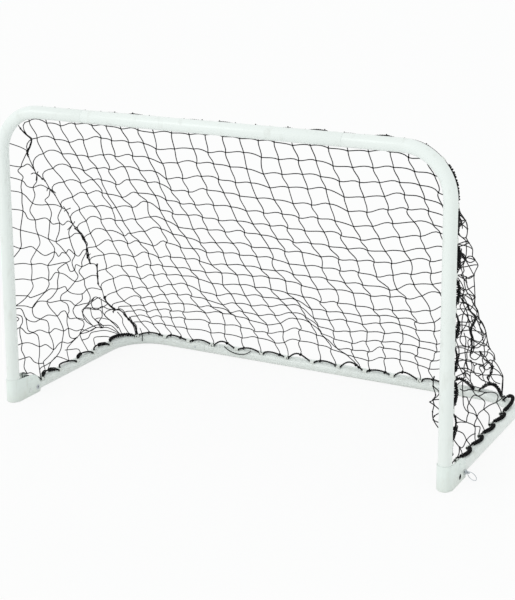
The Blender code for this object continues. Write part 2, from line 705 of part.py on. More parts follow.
def fused_clips(name, line, marks):
    """A joining tool that holds the clips of one tube, their feet sunk half way into its wall."""
    one = clip_mesh(line.tube_radius, -ARCH_WALL / 2)
    shape = bmesh.new()
    for mark in marks:
        before = len(shape.verts)
        shape.from_mesh(one)
        shape.verts.ensure_lookup_table()
        bmesh.ops.transform(shape, matrix=line.clip_place(mark), verts=shape.verts[before:])
    mesh = bpy.data.meshes.new(name)
    shape.to_mesh(mesh)
    shape.free()
    return add_object(name, mesh, CUTTERS)


def make_base_clips():
    """The clips of the ground frame, each a piece of its own."""
    one = clip_mesh(BASE_LINE.tube_radius, GAP)
    rail = rail_clip_marks() + [BASE_CORNER]
    groups = [("left_rail_clip", rail),
              ("rear_bar_clip", bar_clip_marks(BASE_LINE, 0.0, BAR_CLIP_REACH, 0)),
              ("right_rail_clip", [BASE_LINE.length - mark for mark in rail])]
    for name, marks in groups:
        for number, mark in enumerate(marks, 1):
            clip = add_object(f"{name}_{number}", one)
            clip.matrix_world = BASE_LINE.clip_place(mark)
            if not one.materials:
                finish(clip, CLIP_WHITE, 0.4)


def make_border_rope(line, first, name):
    """The border rope along a frame line: straight beside each straight stretch of the tube."""
    points = []
    last = line.length - first
    for low, high in zip(line.marks, line.marks[1:]):
        low, high = max(low, first), min(high, last)
        if high <= low:
            continue
        step = ROPE_BEND_SET * 2 * HALF_BEND / BEND_STEPS
        points.append(line.rope_point(low + (step if low > first else 0.0)))
        points.append(line.rope_point(high - (step if high < last else 0.0)))
    rope = add_object(name, curve_mesh(name, points, ROPE_R, 2))
    return finish(rope, BLACK_CORD, 0.85)


def border(line, stops, away):
    """Net border points beside a rope; stops are the first mark, then (mark, meshes up to it) pairs."""
    marks = [stops[0]]
    for until, count in stops[1:]:
        start = marks[-1]
        marks += [start + (until - start) * (i + 1) / count for i in range(count)]
    return [line.rope_point(mark) + Vector(away) * NET_SET for mark in marks]


def seam_points(side):
    """A slack seam from the arch's bend to the ground frame's bend, top to bottom."""
    arch_mark = ARCH_CORNER if side < 0 else ARCH_LINE.length - ARCH_CORNER
    base_mark = BASE_CORNER if side < 0 else BASE_LINE.length - BASE_CORNER
    top = ARCH_LINE.rope_point(arch_mark) + BACK * SEAM_SET
    low = BASE_LINE.rope_point(base_mark) + UP * SEAM_SET
    inner = LEFT_SEAM if side < 0 else RIGHT_SEAM
    route = [top]
    for number, (y, z) in enumerate(inner, 1):
        x = top.x + (low.x - top.x) * number / (len(inner) + 1)
        route.append(Vector((x, y, z)))
    return evenly(route + [low], NET_ROWS)


def evenly(route, count):
    """Points along a route, an even distance apart."""
    marks = [0.0]
    for first, second in zip(route, route[1:]):
        marks.append(marks[-1] + (second - first).length)
    points = []
    for number in range(count + 1):
        goal = marks[-1] * number / count
        leg = next(i for i in range(len(route) - 1) if goal <= marks[i + 1] + 1e-9)
        share = (goal - marks[leg]) / (marks[leg + 1] - marks[leg])
        points.append(route[leg].lerp(route[leg + 1], share))
    return points


def patch(top, bottom, first, last, belly):
    """A grid between four borders, with a belly; rows run from top to bottom."""
    rows = len(first) - 1
    columns = len(top) - 1
    grid = []
    for row in range(rows + 1):
        v = row / rows
        line = []
        for column in range(columns + 1):
            u = column / columns
            point = (top[column] * (1 - v) + bottom[column] * v + first[row] * (1 - u) + last[row] * u
                     - top[0] * (1 - u) * (1 - v) - top[-1] * u * (1 - v) - bottom[0] * (1 - u) * v
                     - bottom[-1] * u * v)
            line.append(point + Vector(belly) * math.sin(math.pi * u) * math.sin(math.pi * v))
        grid.append(line)
    return grid


def make_net_panel(name, grid):
    """A net panel: a grid of gaps whose twine comes from a wireframe."""
    rows = len(grid) - 1
    columns = len(grid[0]) - 1
    shape = bmesh.new()
    bmesh.ops.create_grid(shape, x_segments=columns, y_segments=rows, size=1.0)
    ordered = sorted(shape.verts, key=lambda v: (round(-v.co.y, 6), round(v.co.x, 6)))
    for index, vert in enumerate(ordered):
        vert.co = grid[index // (columns + 1)][index % (columns + 1)]
    mesh = bpy.data.meshes.new(name)
    shape.to_mesh(mesh)
    shape.free()
    panel = add_object(name, mesh)
    wire = panel.modifiers.new("Twine", "WIREFRAME")
    wire.thickness = 2 * TWINE_R
    wire.use_replace = True
    wire.use_even_offset = False
    wire.use_boundary = True
    return finish(panel, BLACK_CORD, 0.85)


def rear_border(line, straight_end, corner, away):
    """Border points of the rear panel along the arch or the ground frame, from left seam to right seam."""
    bend_end = straight_end + 2 * HALF_BEND
    stops = [corner, (bend_end, BEND_COLUMNS), (line.length - bend_end, REAR_STRAIGHT_COLUMNS),
             (line.length - corner, BEND_COLUMNS)]
    return border(line, stops, away)


def side_marks(straight_end, corner, first, straight_columns):
    """Distances along the left half of a line: even ones to the straight's end, then round to the corner."""
    marks = [first + (straight_end - first) * i / straight_columns for i in range(straight_columns)]
    step = (corner - straight_end) / BEND_COLUMNS
    return marks + [straight_end + step * i for i in range(BEND_COLUMNS + 1)]


def make_side_net(side, name, seam, beside):
    """A side panel between the post, the arch's bend, the seam and the rail."""
    post_top = CROSSBAR_Z - BEND_RADIUS
    post_low = BOOT_HEIGHT + ROPE_END
    columns = SIDE_STRAIGHT_COLUMNS + BEND_COLUMNS
    post_marks = [post_top + (post_low - post_top) * i / NET_ROWS for i in range(NET_ROWS + 1)]
    top_marks = [post_top + (ARCH_CORNER - post_top) * i / columns for i in range(columns + 1)]
    rail_end = REAR_BAR_BACK - BEND_RADIUS
    low_marks = side_marks(rail_end, BASE_CORNER, RAIL_CLIP_FIRST, SIDE_STRAIGHT_COLUMNS - 1)
    if side > 0:
        post_marks = [ARCH_LINE.length - mark for mark in post_marks]
        top_marks = [ARCH_LINE.length - mark for mark in top_marks]
        low_marks = [BASE_LINE.length - mark for mark in low_marks]
    front = [ARCH_LINE.rope_point(mark) + BACK * NET_SET for mark in post_marks]
    upper = [ARCH_LINE.rope_point(mark) + BACK * NET_SET for mark in top_marks]
    lower = [front[-1]] + [BASE_LINE.rope_point(mark) + UP * NET_SET for mark in low_marks]
    back = [point + Vector((side * beside, 0, 0)) for point in seam]
    upper[-1] = back[0]
    lower[-1] = back[-1]
    belly = Vector((-side * PANEL_BELLY, 0, 0))
    return make_net_panel(name, patch(upper, lower, front, back, belly))


def make_net():
    """Rear and side panels and the two seam cords between them."""
    beside = SEAM_CORD_R + TWINE_R + NET_FIT
    seams = {-1: seam_points(-1), 1: seam_points(1)}
    rear_left = [point + Vector((beside, 0, 0)) for point in seams[-1]]
    rear_right = [point - Vector((beside, 0, 0)) for point in seams[1]]
    top = rear_border(ARCH_LINE, CROSSBAR_Z - BEND_RADIUS, ARCH_CORNER, BACK)
    low = rear_border(BASE_LINE, REAR_BAR_BACK - BEND_RADIUS, BASE_CORNER, UP)
    top[0], top[-1] = rear_left[0], rear_right[0]
    low[0], low[-1] = rear_left[-1], rear_right[-1]
    make_net_panel("net_rear", patch(top, low, rear_left, rear_right, HANG * PANEL_BELLY))
    for side, word in ((-1, "left"), (1, "right")):
        name = f"net_{word}_seam_cord"
        finish(add_object(name, curve_mesh(name, seams[side], SEAM_CORD_R, 1)), BLACK_CORD, 0.85)
        make_side_net(side, f"net_{word}_side", seams[side], beside)


def make_fold_axis():
    """An empty on the axis that the ground frame folds about."""
    guide = bpy.data.objects.new("fold_axis", None)
    guide.location = (0.0, PIVOT_Y, RAIL_Z)
    PARTS.objects.link(guide)
    return guide


def hang_on(guide, starts):
    """Make the pieces whose names start so children of a guide, where they stand."""
    bpy.context.view_layer.update()
    for piece in [item for item in PARTS.objects if item.name.startswith(starts)]:
        place = piece.matrix_world.copy()
        piece.parent = guide
        piece.matrix_world = place


def main():
    """Build every piece."""
    fold_axis = make_fold_axis()
    for side, word in ((-1, "left"), (1, "right")):
        make_post(side, f"{word}_post")
        make_rail(side, f"{word}_rail")
        make_boot(side, f"{word}_boot")
        make_rivet(side, f"{word}_pivot_rivet")
        make_bush(side, f"{word}_pin_bush")
        make_lock_pin(side, f"{word}_lock_pin")
        make_ring(side, f"{word}_pin_ring")
        make_plug(side, f"{word}_rail_plug")
        arch_x = side * (ARCH_JOINT_X + BUTTON_SET)
        rear_x = side * (REAR_JOINT_X + BUTTON_SET)
        make_button(f"arch_{word}_button", arch_x, POST_Y, CROSSBAR_Z, ARCH_TUBE_R, ARCH_WALL, 1)
        make_button(f"rear_{word}_button", rear_x, REAR_Y, RAIL_Z, BASE_TUBE_R, BASE_WALL, -1)
        make_button_spring(f"arch_{word}_spring", side, arch_x, POST_Y, CROSSBAR_Z, ARCH_TUBE_R, ARCH_WALL, 1)
        make_button_spring(f"rear_{word}_spring", side, rear_x, REAR_Y, RAIL_Z, BASE_TUBE_R, BASE_WALL, -1)
        make_boot_screw(side, f"{word}_boot_screw")
    make_bar("crossbar", ARCH_JOINT_X, POST_Y, CROSSBAR_Z, ARCH_TUBE_R, ARCH_WALL, 1, ARCH_LINE)
    make_bar("rear_bar", REAR_JOINT_X, REAR_Y, RAIL_Z, BASE_TUBE_R, BASE_WALL, -1)
    make_base_clips()
    make_border_rope(ARCH_LINE, BOOT_HEIGHT + ROPE_END, "arch_rope")
    make_border_rope(BASE_LINE, PIVOT_BACK + CHEEK_R + ROPE_END, "base_rope")
    make_net()
    hang_on(fold_axis, ("left_rail", "right_rail", "rear_", "base_rope"))


main()
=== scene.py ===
"""Looks of the folding soccer goal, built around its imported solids.

Metres, +Z up, the open front towards -Y. The origin is on the ground, in the middle of the footprint.
"""

import logging
import math
import random
from dataclasses import dataclass, field
from enum import Enum
from typing import Sequence

import bmesh
import bpy
from mathutils import Matrix, Vector


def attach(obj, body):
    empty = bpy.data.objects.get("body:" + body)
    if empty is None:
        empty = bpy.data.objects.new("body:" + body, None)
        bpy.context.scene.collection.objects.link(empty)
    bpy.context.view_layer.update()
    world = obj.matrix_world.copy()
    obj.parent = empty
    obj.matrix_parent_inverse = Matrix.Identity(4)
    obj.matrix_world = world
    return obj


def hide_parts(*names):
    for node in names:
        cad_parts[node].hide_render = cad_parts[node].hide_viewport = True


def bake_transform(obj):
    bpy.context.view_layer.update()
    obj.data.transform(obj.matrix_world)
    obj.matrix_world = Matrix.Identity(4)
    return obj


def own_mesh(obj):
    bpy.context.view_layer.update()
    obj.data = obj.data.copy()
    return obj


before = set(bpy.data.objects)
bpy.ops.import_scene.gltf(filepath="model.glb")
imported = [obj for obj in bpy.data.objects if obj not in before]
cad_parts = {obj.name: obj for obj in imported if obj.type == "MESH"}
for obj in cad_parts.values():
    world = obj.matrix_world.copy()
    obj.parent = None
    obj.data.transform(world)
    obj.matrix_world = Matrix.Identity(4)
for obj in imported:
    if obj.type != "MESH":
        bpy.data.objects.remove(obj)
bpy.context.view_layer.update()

LOG = logging.getLogger("goal")

# The frame's lines and tubes. GAP is the room round a fitted piece, SLIVER a step too small to see.
UP = Vector((0.0, 0.0, 1.0))
BACK = Vector((0.0, 1.0, 0.0))
ACROSS = Vector((1.0, 0.0, 0.0))
GAP = 0.0003
SLIVER = 0.0001
HALF_SPACING = 0.940
POST_Y = -0.43765
REAR_Y = 0.44235
PIVOT_Y = -0.36165
LOCK_Y = -0.31365
RAIL_Z = 0.024
CROSSBAR_Z = 1.212
BEND_RADIUS = 0.175
ARCH_TUBE_R = 0.0254
BASE_TUBE_R = 0.0240
ROPE_R = 0.0040
ROPE_LIFT = 0.0009


class Side(Enum):
    """Left or right half of the goal, by the sign of X."""

    LEFT = -1
    RIGHT = 1

    @property
    def word(self) -> str:
        """The side's name as the nodes have it."""
        return self.name.lower()


class Body(str, Enum):
    """The bodies that most pieces ride on."""

    FRONT = "front_frame"
    BASE = "base_frame"


class Slot(str, Enum):
    """The record's material slots; nothing here gives them to the pieces."""

    WHITE_COAT = "white_coat"
    BOOT_PLASTIC = "boot_plastic"
    RIVET_PAINT = "rivet_paint"
    ZINC = "zinc"
    CLIP_PLASTIC = "clip_plastic"
    BORDER_ROPE = "border_rope"
    NET_TWINE = "net_twine"


# ---------------------------------------------------------------- finishes


class NodeSheet:
    """One material's node tree, with short ways to add nodes and join them."""

    def __init__(self, name: str) -> None:
        """Start a material with its Principled shader.

        Args:
            name: The material's name.
        """
        self.material = bpy.data.materials.new(name)
        self.material.use_nodes = True
        self.tree = self.material.node_tree
        self.shader = self.tree.nodes["Principled BSDF"]
        self.place = self.add("ShaderNodeTexCoord").outputs["Object"]

    def add(self, kind: str, **settings: object) -> bpy.types.Node:
        """Add a node.

        Args:
            kind: The node's type name.
            settings: Attributes to set on it.

        Returns:
            The node.
        """
        node = self.tree.nodes.new(kind)
        for name, value in settings.items():
            setattr(node, name, value)
        return node

    def join(self, source: bpy.types.NodeSocket, target: bpy.types.NodeSocket) -> None:
        """Link an output to an input."""
        self.tree.links.new(source, target)

    def shape(self, **values: float) -> None:
        """Set constants on the shader's own sockets, by name with spaces as underscores."""
        for name, value in values.items():
            self.shader.inputs[name.replace("_", " ")].default_value = value

    def noise(self, scale: float, detail: float,
              stretch: Sequence[float] = (1, 1, 1)) -> bpy.types.NodeSocket:
        """Add a noise pattern on Object coordinates.

        Args:
            scale: Repeats per metre.
            detail: Octaves.
            stretch: Scale of each axis before the pattern.

        Returns:
            Its factor output.
        """
        mapping = self.add("ShaderNodeMapping")
        mapping.inputs["Scale"].default_value = stretch
        self.join(self.place, mapping.inputs["Vector"])
        noise = self.add("ShaderNodeTexNoise")
        noise.inputs["Scale"].default_value = scale
        noise.inputs["Detail"].default_value = detail
        self.join(mapping.outputs["Vector"], noise.inputs["Vector"])
        return noise.outputs["Fac"]

    def ramp(self, factor: bpy.types.NodeSocket, stops: Sequence[tuple]) -> bpy.types.NodeSocket:
        """Colour a factor.

        Args:
            factor: The value to read.
            stops: Pairs of position and colour or grey.

        Returns:
            The ramp's colour output.
        """
        ramp = self.add("ShaderNodeValToRGB")
        points = ramp.color_ramp.elements
        while len(points) < len(stops):
            points.new(0.5)
        for point, (position, colour) in zip(points, stops):
            point.position = position
            shade = colour if isinstance(colour, (tuple, list)) else (colour,) * 3
            point.color = (*shade, 1.0)
        self.join(factor, ramp.inputs["Fac"])
        return ramp.outputs["Color"]

    def mix(self, factor: bpy.types.NodeSocket, first: object, second: object) -> bpy.types.NodeSocket:
        """Mix two colours, each a socket or an RGB triple.

        Args:
            factor: How much of the second.
            first: Colour at factor 0.
            second: Colour at factor 1.

        Returns:
            The mixed colour.
        """
        mix = self.add("ShaderNodeMix", data_type="RGBA")
        self.join(factor, mix.inputs["Factor"])
        for socket, colour in ((mix.inputs[6], first), (mix.inputs[7], second)):
            if isinstance(colour, bpy.types.NodeSocket):
                self.join(colour, socket)
            else:
                socket.default_value = (*colour, 1.0)
        return mix.outputs[2]

    def bump(self, height: bpy.types.NodeSocket, strength: float, distance: float) -> None:
        """Add a bump on top of those the shader already has.

        Args:
            height: The height pattern.
            strength: The bump node's strength.
            distance: Its depth in metres.
        """
        bump = self.add("ShaderNodeBump")
        bump.inputs["Strength"].default_value = strength
        bump.inputs["Distance"].default_value = distance
        self.join(height, bump.inputs["Height"])
        normal = self.shader.inputs["Normal"]
        if normal.is_linked:
            self.join(normal.links[0].from_socket, bump.inputs["Normal"])
        self.join(bump.outputs["Normal"], normal)

    def low_down(self, low: float, high: float) -> bpy.types.NodeSocket:
        """A factor that is 1 near the ground and 0 above.

        Args:
            low: Height below which it is 1.
            high: Height above which it is 0.

        Returns:
            The factor.
        """
        split = self.add("ShaderNodeSeparateXYZ")
        self.join(self.place, split.inputs["Vector"])
        span = self.add("ShaderNodeMapRange")
        span.inputs["From Min"].default_value = high
        span.inputs["From Max"].default_value = low
        self.join(split.outputs["Z"], span.inputs["Value"])
        return span.outputs["Result"]

    def times(self, first: bpy.types.NodeSocket, second: object) -> bpy.types.NodeSocket:
        """Multiply a factor by another factor or by a number."""
        node = self.add("ShaderNodeMath", operation="MULTIPLY")
        self.join(first, node.inputs[0])
        if isinstance(second, bpy.types.NodeSocket):
            self.join(second, node.inputs[1])
        else:
            node.inputs[1].default_value = second
        return node.outputs[0]


@dataclass(frozen=True)
class CoatedFinish:
    """A white coat or moulding: faint mottling, smudges, ground dust, worn edges and a fine skin.

    Attributes:
        name: The material's name.
        light: Clean colour.
        soiled: Colour of smudges and dust.
        roughness: Mean roughness.
        skin_scale: Repeats per metre of the skin's texture.
        skin_depth: Its depth in metres.
        coat: Weight of the clear layer.
        mottle: Repeats per metre of the broad mottling.
        smudges: Repeats per metre of the smudges.
        dust_z: Heights between which the ground dust fades out.
        dust: Weight of that dust at the ground.
        polish: Repeats per metre of the roughness's own pattern.
    """

    name: str
    light: tuple[float, float, float]
    soiled: tuple[float, float, float]
    roughness: float
    skin_scale: float
    skin_depth: float
    coat: float = 0.0
    mottle: float = 7.0
    smudges: float = 38.0
    dust_z: tuple[float, float] = (0.004, 0.060)
    dust: float = 0.30
    polish: float = 55.0

    def material(self) -> bpy.types.Material:
        """Build the material."""
        sheet = NodeSheet(self.name)
        mottle = sheet.ramp(sheet.noise(self.mottle, 4.0), [(0.35, 0.0), (0.70, 0.30)])
        smudge = sheet.ramp(sheet.noise(self.smudges, 6.0, (1, 1, 0.4)), [(0.56, 0.0), (0.74, 0.35)])
        dust = sheet.times(sheet.low_down(*self.dust_z), self.dust)
        worn = sheet.ramp(sheet.add("ShaderNodeNewGeometry").outputs["Pointiness"], [(0.52, 0.0), (0.60, 0.22)])
        tone = sheet.mix(mottle, self.light, tuple(0.965 * c for c in self.light))
        tone = sheet.mix(smudge, tone, self.soiled)
        tone = sheet.mix(dust, tone, self.soiled)
        tone = sheet.mix(worn, tone, self.soiled)
        sheet.join(tone, sheet.shader.inputs["Base Color"])
        rough = sheet.ramp(sheet.noise(self.polish, 5.0),
                           [(0.3, self.roughness - 0.05), (0.75, self.roughness + 0.12)])
        sheet.join(rough, sheet.shader.inputs["Roughness"])
        sheet.shape(Coat_Weight=self.coat, Coat_Roughness=0.18)
        sheet.bump(sheet.noise(self.skin_scale, 2.0), 0.5, self.skin_depth)
        return sheet.material


@dataclass(frozen=True)
class ZincFinish:
    """Zinc plate: spangled grey blue metal with dull stains.

    Attributes:
        name: The material's name.
        bright: Colour of the clean plate.
        dull: Colour of the stains.
        stains: Repeats per metre of the stains.
        spangle: Repeats per metre of the spangle.
        grain: Repeats per metre of the grain.
        grain_depth: Its depth in metres.
    """

    name: str = "zinc_plate"
    bright: tuple[float, float, float] = (0.60, 0.64, 0.67)
    dull: tuple[float, float, float] = (0.36, 0.39, 0.41)
    stains: float = 160.0
    spangle: float = 420.0
    grain: float = 900.0
    grain_depth: float = 0.00015

    def material(self) -> bpy.types.Material:
        """Build the material."""
        sheet = NodeSheet(self.name)
        stain = sheet.ramp(sheet.noise(self.stains, 6.0), [(0.42, 0.0), (0.68, 1.0)])
        sheet.join(sheet.mix(stain, self.bright, self.dull), sheet.shader.inputs["Base Color"])
        rough = sheet.ramp(sheet.noise(self.spangle, 4.0), [(0.3, 0.28), (0.7, 0.50)])
        sheet.join(rough, sheet.shader.inputs["Roughness"])
        sheet.shape(Metallic=0.85)
        sheet.bump(sheet.noise(self.grain, 3.0), 0.4, self.grain_depth)
        return sheet.material


@dataclass(frozen=True)
class FibreFinish:
    """Black cord of fine fibres, slightly greyed where it has weathered.

    Attributes:
        name: The material's name.
        dark: Colour in the grooves.
        faded: Colour of the weathered fibres.
        fibre_scale: Fibre ridges per metre.
        sheen: Weight of the fuzz.
        patches: Repeats per metre of the weathered patches.
        fibre_depth: Depth of the fibres in metres.
    """

    name: str
    dark: tuple[float, float, float]
    faded: tuple[float, float, float]
    fibre_scale: float
    sheen: float
    patches: float = 24.0
    fibre_depth: float = 0.0005

    def material(self) -> bpy.types.Material:
        """Build the material."""
        sheet = NodeSheet(self.name)
        patches = sheet.noise(self.patches, 4.0)
        fibres = sheet.noise(self.fibre_scale, 3.0, (1.0, 0.35, 1.0))
        tone = sheet.mix(sheet.ramp(patches, [(0.40, 0.0), (0.75, 0.8)]), self.dark, self.faded)
        tone = sheet.mix(sheet.ramp(fibres, [(0.45, 0.0), (0.65, 0.5)]), tone, self.faded)
        sheet.join(tone, sheet.shader.inputs["Base Color"])
        sheet.join(sheet.ramp(fibres, [(0.3, 0.72), (0.7, 0.92)]), sheet.shader.inputs["Roughness"])
        sheet.shape(Sheen_Weight=self.sheen, Sheen_Roughness=0.6, Specular_IOR_Level=0.18)
        sheet.bump(fibres, 0.7, self.fibre_depth)
        return sheet.material


POWDER_COAT = CoatedFinish("powder_coat", (0.855, 0.888, 0.872), (0.62, 0.63, 0.59), 0.34, 620.0, 0.00012, 0.25)
BOOT_MOULDING = CoatedFinish("boot_moulding", (0.80, 0.85, 0.825), (0.60, 0.60, 0.54), 0.44, 900.0, 0.00010)
RIVET_COAT = CoatedFinish("rivet_coat", (0.84, 0.865, 0.85), (0.50, 0.51, 0.49), 0.38, 700.0, 0.00010, 0.15)
# Painted shade: a near black finish for the inside of the rivet's open bore and its rolled lip, where the bore lies
# in shade.
BORE_SHADE_PAINT = CoatedFinish("painted_bore_shade", (0.006, 0.006, 0.007), (0.012, 0.012, 0.012), 0.70, 700.0, 0.00010)
CLIP_MOULDING = CoatedFinish("clip_moulding", (0.80, 0.82, 0.79), (0.52, 0.53, 0.50), 0.42, 800.0, 0.00008)
PLUG_MOULDING = CoatedFinish("plug_moulding", (0.52, 0.53, 0.52), (0.36, 0.36, 0.34), 0.50, 800.0, 0.00010)
ZINC_PLATE = ZincFinish()
ROPE_FIBRE = FibreFinish("rope_fibre", (0.003, 0.003, 0.0035), (0.014, 0.014, 0.015), 1500.0, 0.03)
TWINE_FIBRE = FibreFinish("twine_fibre", (0.003, 0.003, 0.0035), (0.010, 0.010, 0.011), 2200.0, 0.02)

Finish = CoatedFinish | ZincFinish | FibreFinish
MADE: dict[str, bpy.types.Material] = {}


def material_of(finish: Finish) -> bpy.types.Material:
    """The one material of a finish, built at its first use."""
    if finish.name not in MADE:
        MADE[finish.name] = finish.material()
    return MADE[finish.name]


# ---------------------------------------------------------------- workshop


def to_mesh(shape: bmesh.types.BMesh, name: str, outward: bool = True) -> bpy.types.Mesh:
    """Turn a bmesh into a mesh and free it.

    Args:
        shape: The bmesh.
        name: The mesh's name.
        outward: Whether its faces are turned to point out first.

    Returns:
        The mesh.
    """
    if outward:
        bmesh.ops.remove_doubles(shape, verts=shape.verts, dist=1e-6)
        bmesh.ops.recalc_face_normals(shape, faces=shape.faces)
    mesh = bpy.data.meshes.new(name)
    shape.to_mesh(mesh)
    shape.free()
    return mesh


def new_object(name: str, data: bpy.types.ID) -> bpy.types.Object:
    """Link an object for a mesh or a curve."""
    item = bpy.data.objects.new(name, data)
    bpy.context.scene.collection.objects.link(item)
    return item


def settled(item: bpy.types.Object, name: str) -> bpy.types.Mesh:
    """The object's mesh with its modifiers applied.

    Args:
        item: A mesh or curve object.
        name: Name of the new mesh.

    Returns:
        The mesh, in the object's own coordinates.
    """
    bpy.context.view_layer.update()
    graph = bpy.context.evaluated_depsgraph_get()
    mesh = bpy.data.meshes.new_from_object(item.evaluated_get(graph), depsgraph=graph)
    mesh.name = name
    return mesh


def carve(item: bpy.types.Object, tool: bpy.types.Mesh, how: str = "DIFFERENCE") -> None:
    """Cut with a tool or keep what it shares, and use the tool up.

    Args:
        item: The object to change.
        tool: The tool's mesh, in place.
        how: DIFFERENCE or INTERSECT.
    """
    helper = new_object("tool", tool)
    modifier = item.modifiers.new("carve", "BOOLEAN")
    modifier.object = helper
    modifier.operation = how
    modifier.solver = "EXACT"
    mesh = settled(item, item.data.name)
    item.modifiers.clear()
    item.data = mesh
    bpy.data.objects.remove(helper)


def rod(radius: float, start: Vector, end: Vector, steps: int = 48) -> bpy.types.Mesh:
    """A plain round tool between two points.

    Args:
        radius: Its radius.
        start: Centre of one end.
        end: Centre of the other.
        steps: Sides.

    Returns:
        Its mesh.
    """
    start, end = Vector(start), Vector(end)
    shape = bmesh.new()
    bmesh.ops.create_cone(shape, cap_ends=True, segments=steps, radius1=radius, radius2=radius,
                          depth=(end - start).length)
    bmesh.ops.transform(shape, matrix=along((start + end) / 2, end - start), verts=shape.verts)
    return to_mesh(shape, "rod")


def block(low: Sequence[float], high: Sequence[float]) -> bpy.types.Mesh:
    """A square tool from its lowest and highest corner."""
    shape = bmesh.new()
    bmesh.ops.create_cube(shape, size=1.0)
    size = Vector(high) - Vector(low)
    bmesh.ops.scale(shape, vec=size, verts=shape.verts)
    bmesh.ops.translate(shape, vec=(Vector(high) + Vector(low)) / 2, verts=shape.verts)
    return to_mesh(shape, "block")


def along(place: Sequence[float], direction: Sequence[float]) -> Matrix:
    """The matrix that stands +Z along a direction at a place."""
    turn = Vector(direction).to_track_quat("Z", "Y").to_matrix().to_4x4()
    return Matrix.Translation(place) @ turn


def region(faces: Sequence[bmesh.types.BMFace]) -> list:
    """Faces with their edges and vertices, as the operators want them."""
    parts = {*faces}
    for face in faces:
        parts.update(face.edges)
        parts.update(face.verts)
    return list(parts)


def drawn(shape: bmesh.types.BMesh, faces: Sequence[bmesh.types.BMFace],
          step: Vector) -> list[bmesh.types.BMFace]:
    """Extrude faces by a step.

    Args:
        shape: The shape.
        faces: Its faces at the open end.
        step: How far.

    Returns:
        The faces at the new end.
    """
    made = bmesh.ops.extrude_face_region(shape, geom=faces)["geom"]
    verts = [item for item in made if isinstance(item, bmesh.types.BMVert)]
    bmesh.ops.translate(shape, vec=step, verts=verts)
    return [item for item in made if isinstance(item, bmesh.types.BMFace)]


def rounded(shape: bmesh.types.BMesh, edges: Sequence[bmesh.types.BMEdge], width: float, segments: int) -> None:
    """Bevel some edges of a shape.

    Args:
        shape: The shape.
        edges: The edges.
        width: Width of the bevel.
        segments: Its segments.
    """
    bmesh.ops.bevel(shape, geom=edges, offset=width, offset_type="OFFSET", segments=segments, profile=0.5,
                    affect="EDGES", material=-1)


def turned(profile: Sequence[tuple[float, float]], steps: int) -> bmesh.types.BMesh:
    """Spin a profile of (radius, height) pairs about Z into a closed shape.

    Args:
        profile: The pairs, from the axis round to the axis or back to the first pair.
        steps: Steps of the spin.

    Returns:
        The shape.
    """
    shape = bmesh.new()
    verts = [shape.verts.new((radius, 0.0, height)) for radius, height in profile]
    edges = [shape.edges.new(pair) for pair in zip(verts, verts[1:])]
    if profile[0][0] > 0:
        edges.append(shape.edges.new((verts[-1], verts[0])))
    bmesh.ops.spin(shape, geom=verts + edges, cent=(0, 0, 0), axis=(0, 0, 1), angle=2 * math.pi,
                   steps=steps, use_merge=True, use_duplicate=False)
    bmesh.ops.remove_doubles(shape, verts=shape.verts, dist=1e-6)
    return shape


def lathe(name: str, profile: Sequence[tuple[float, float]], place: Vector, way: Sequence[float],
          steps: int = 40) -> bpy.types.Object:
    """Turn a piece and put it in place.

    Args:
        name: The piece's name.
        profile: Pairs of radius and height.
        place: Where its axis starts.
        way: Direction of its axis.
        steps: Steps of the spin.

    Returns:
        The piece.
    """
    shape = turned(profile, steps)
    bmesh.ops.transform(shape, matrix=along(place, way), verts=shape.verts)
    return new_object(name, to_mesh(shape, name))


def soften(item: bpy.types.Object, width: float, limit: float = 38.0) -> None:
    """Round an object's sharp edges with a bevel.

    Args:
        item: The object.
        width: Width of the bevel.
        limit: Edges sharper than this angle in degrees are rounded.
    """
    shape = bmesh.new()
    shape.from_mesh(item.data)
    bmesh.ops.remove_doubles(shape, verts=shape.verts, dist=2e-5)
    bmesh.ops.dissolve_limit(shape, angle_limit=0.008, verts=shape.verts, edges=shape.edges)
    shape.to_mesh(item.data)
    shape.free()
    bevel = item.modifiers.new("Rounded edges", "BEVEL")
    bevel.width = width
    bevel.segments = 2
    bevel.limit_method = "ANGLE"
    bevel.angle_limit = math.radians(limit)
    bevel.use_clamp_overlap = True
    mesh = settled(item, item.data.name)
    item.modifiers.clear()
    item.data = mesh


def dressed(item: bpy.types.Object, finish: Finish, sharp: float = 40.0) -> bpy.types.Object:
    """Give a piece its material, smooth shading and material slot.

    Args:
        item: The piece.
        finish: Its finish.
        sharp: Edges sharper than this stay sharp, in degrees.

    Returns:
        The same piece.
    """
    item.data.materials.clear()
    item.data.materials.append(material_of(finish))
    item.data.shade_smooth()
    item.data.set_sharp_from_angle(angle=math.radians(sharp))
    return item


def report(item: bpy.types.Object, nodes: Sequence[str]) -> None:
    """Log a finished piece with the CAD nodes that it stands for."""
    LOG.info("%s: %d faces, for %s", item.name, len(item.data.polygons), ", ".join(nodes) or "no node")


def mount(item: bpy.types.Object, body: str, *nodes: str) -> None:
    """Let a piece ride on a body in place of its CAD nodes, and report it.

    Args:
        item: The piece.
        body: The body's name.
        nodes: CAD nodes that it stands for.
    """
    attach(item, str(body.value if isinstance(body, Enum) else body))
    if nodes:
        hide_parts(*nodes)
    report(item, nodes)


def copied(shape: bmesh.types.BMesh, mesh: bpy.types.Mesh, matrix: Matrix) -> None:
    """Add a copy of a small mesh to a shape.

    Args:
        shape: The shape.
        mesh: The small mesh.
        matrix: Where the copy goes.
    """
    before = len(shape.verts)
    shape.from_mesh(mesh)
    shape.verts.ensure_lookup_table()
    bmesh.ops.transform(shape, matrix=matrix, verts=shape.verts[before:])


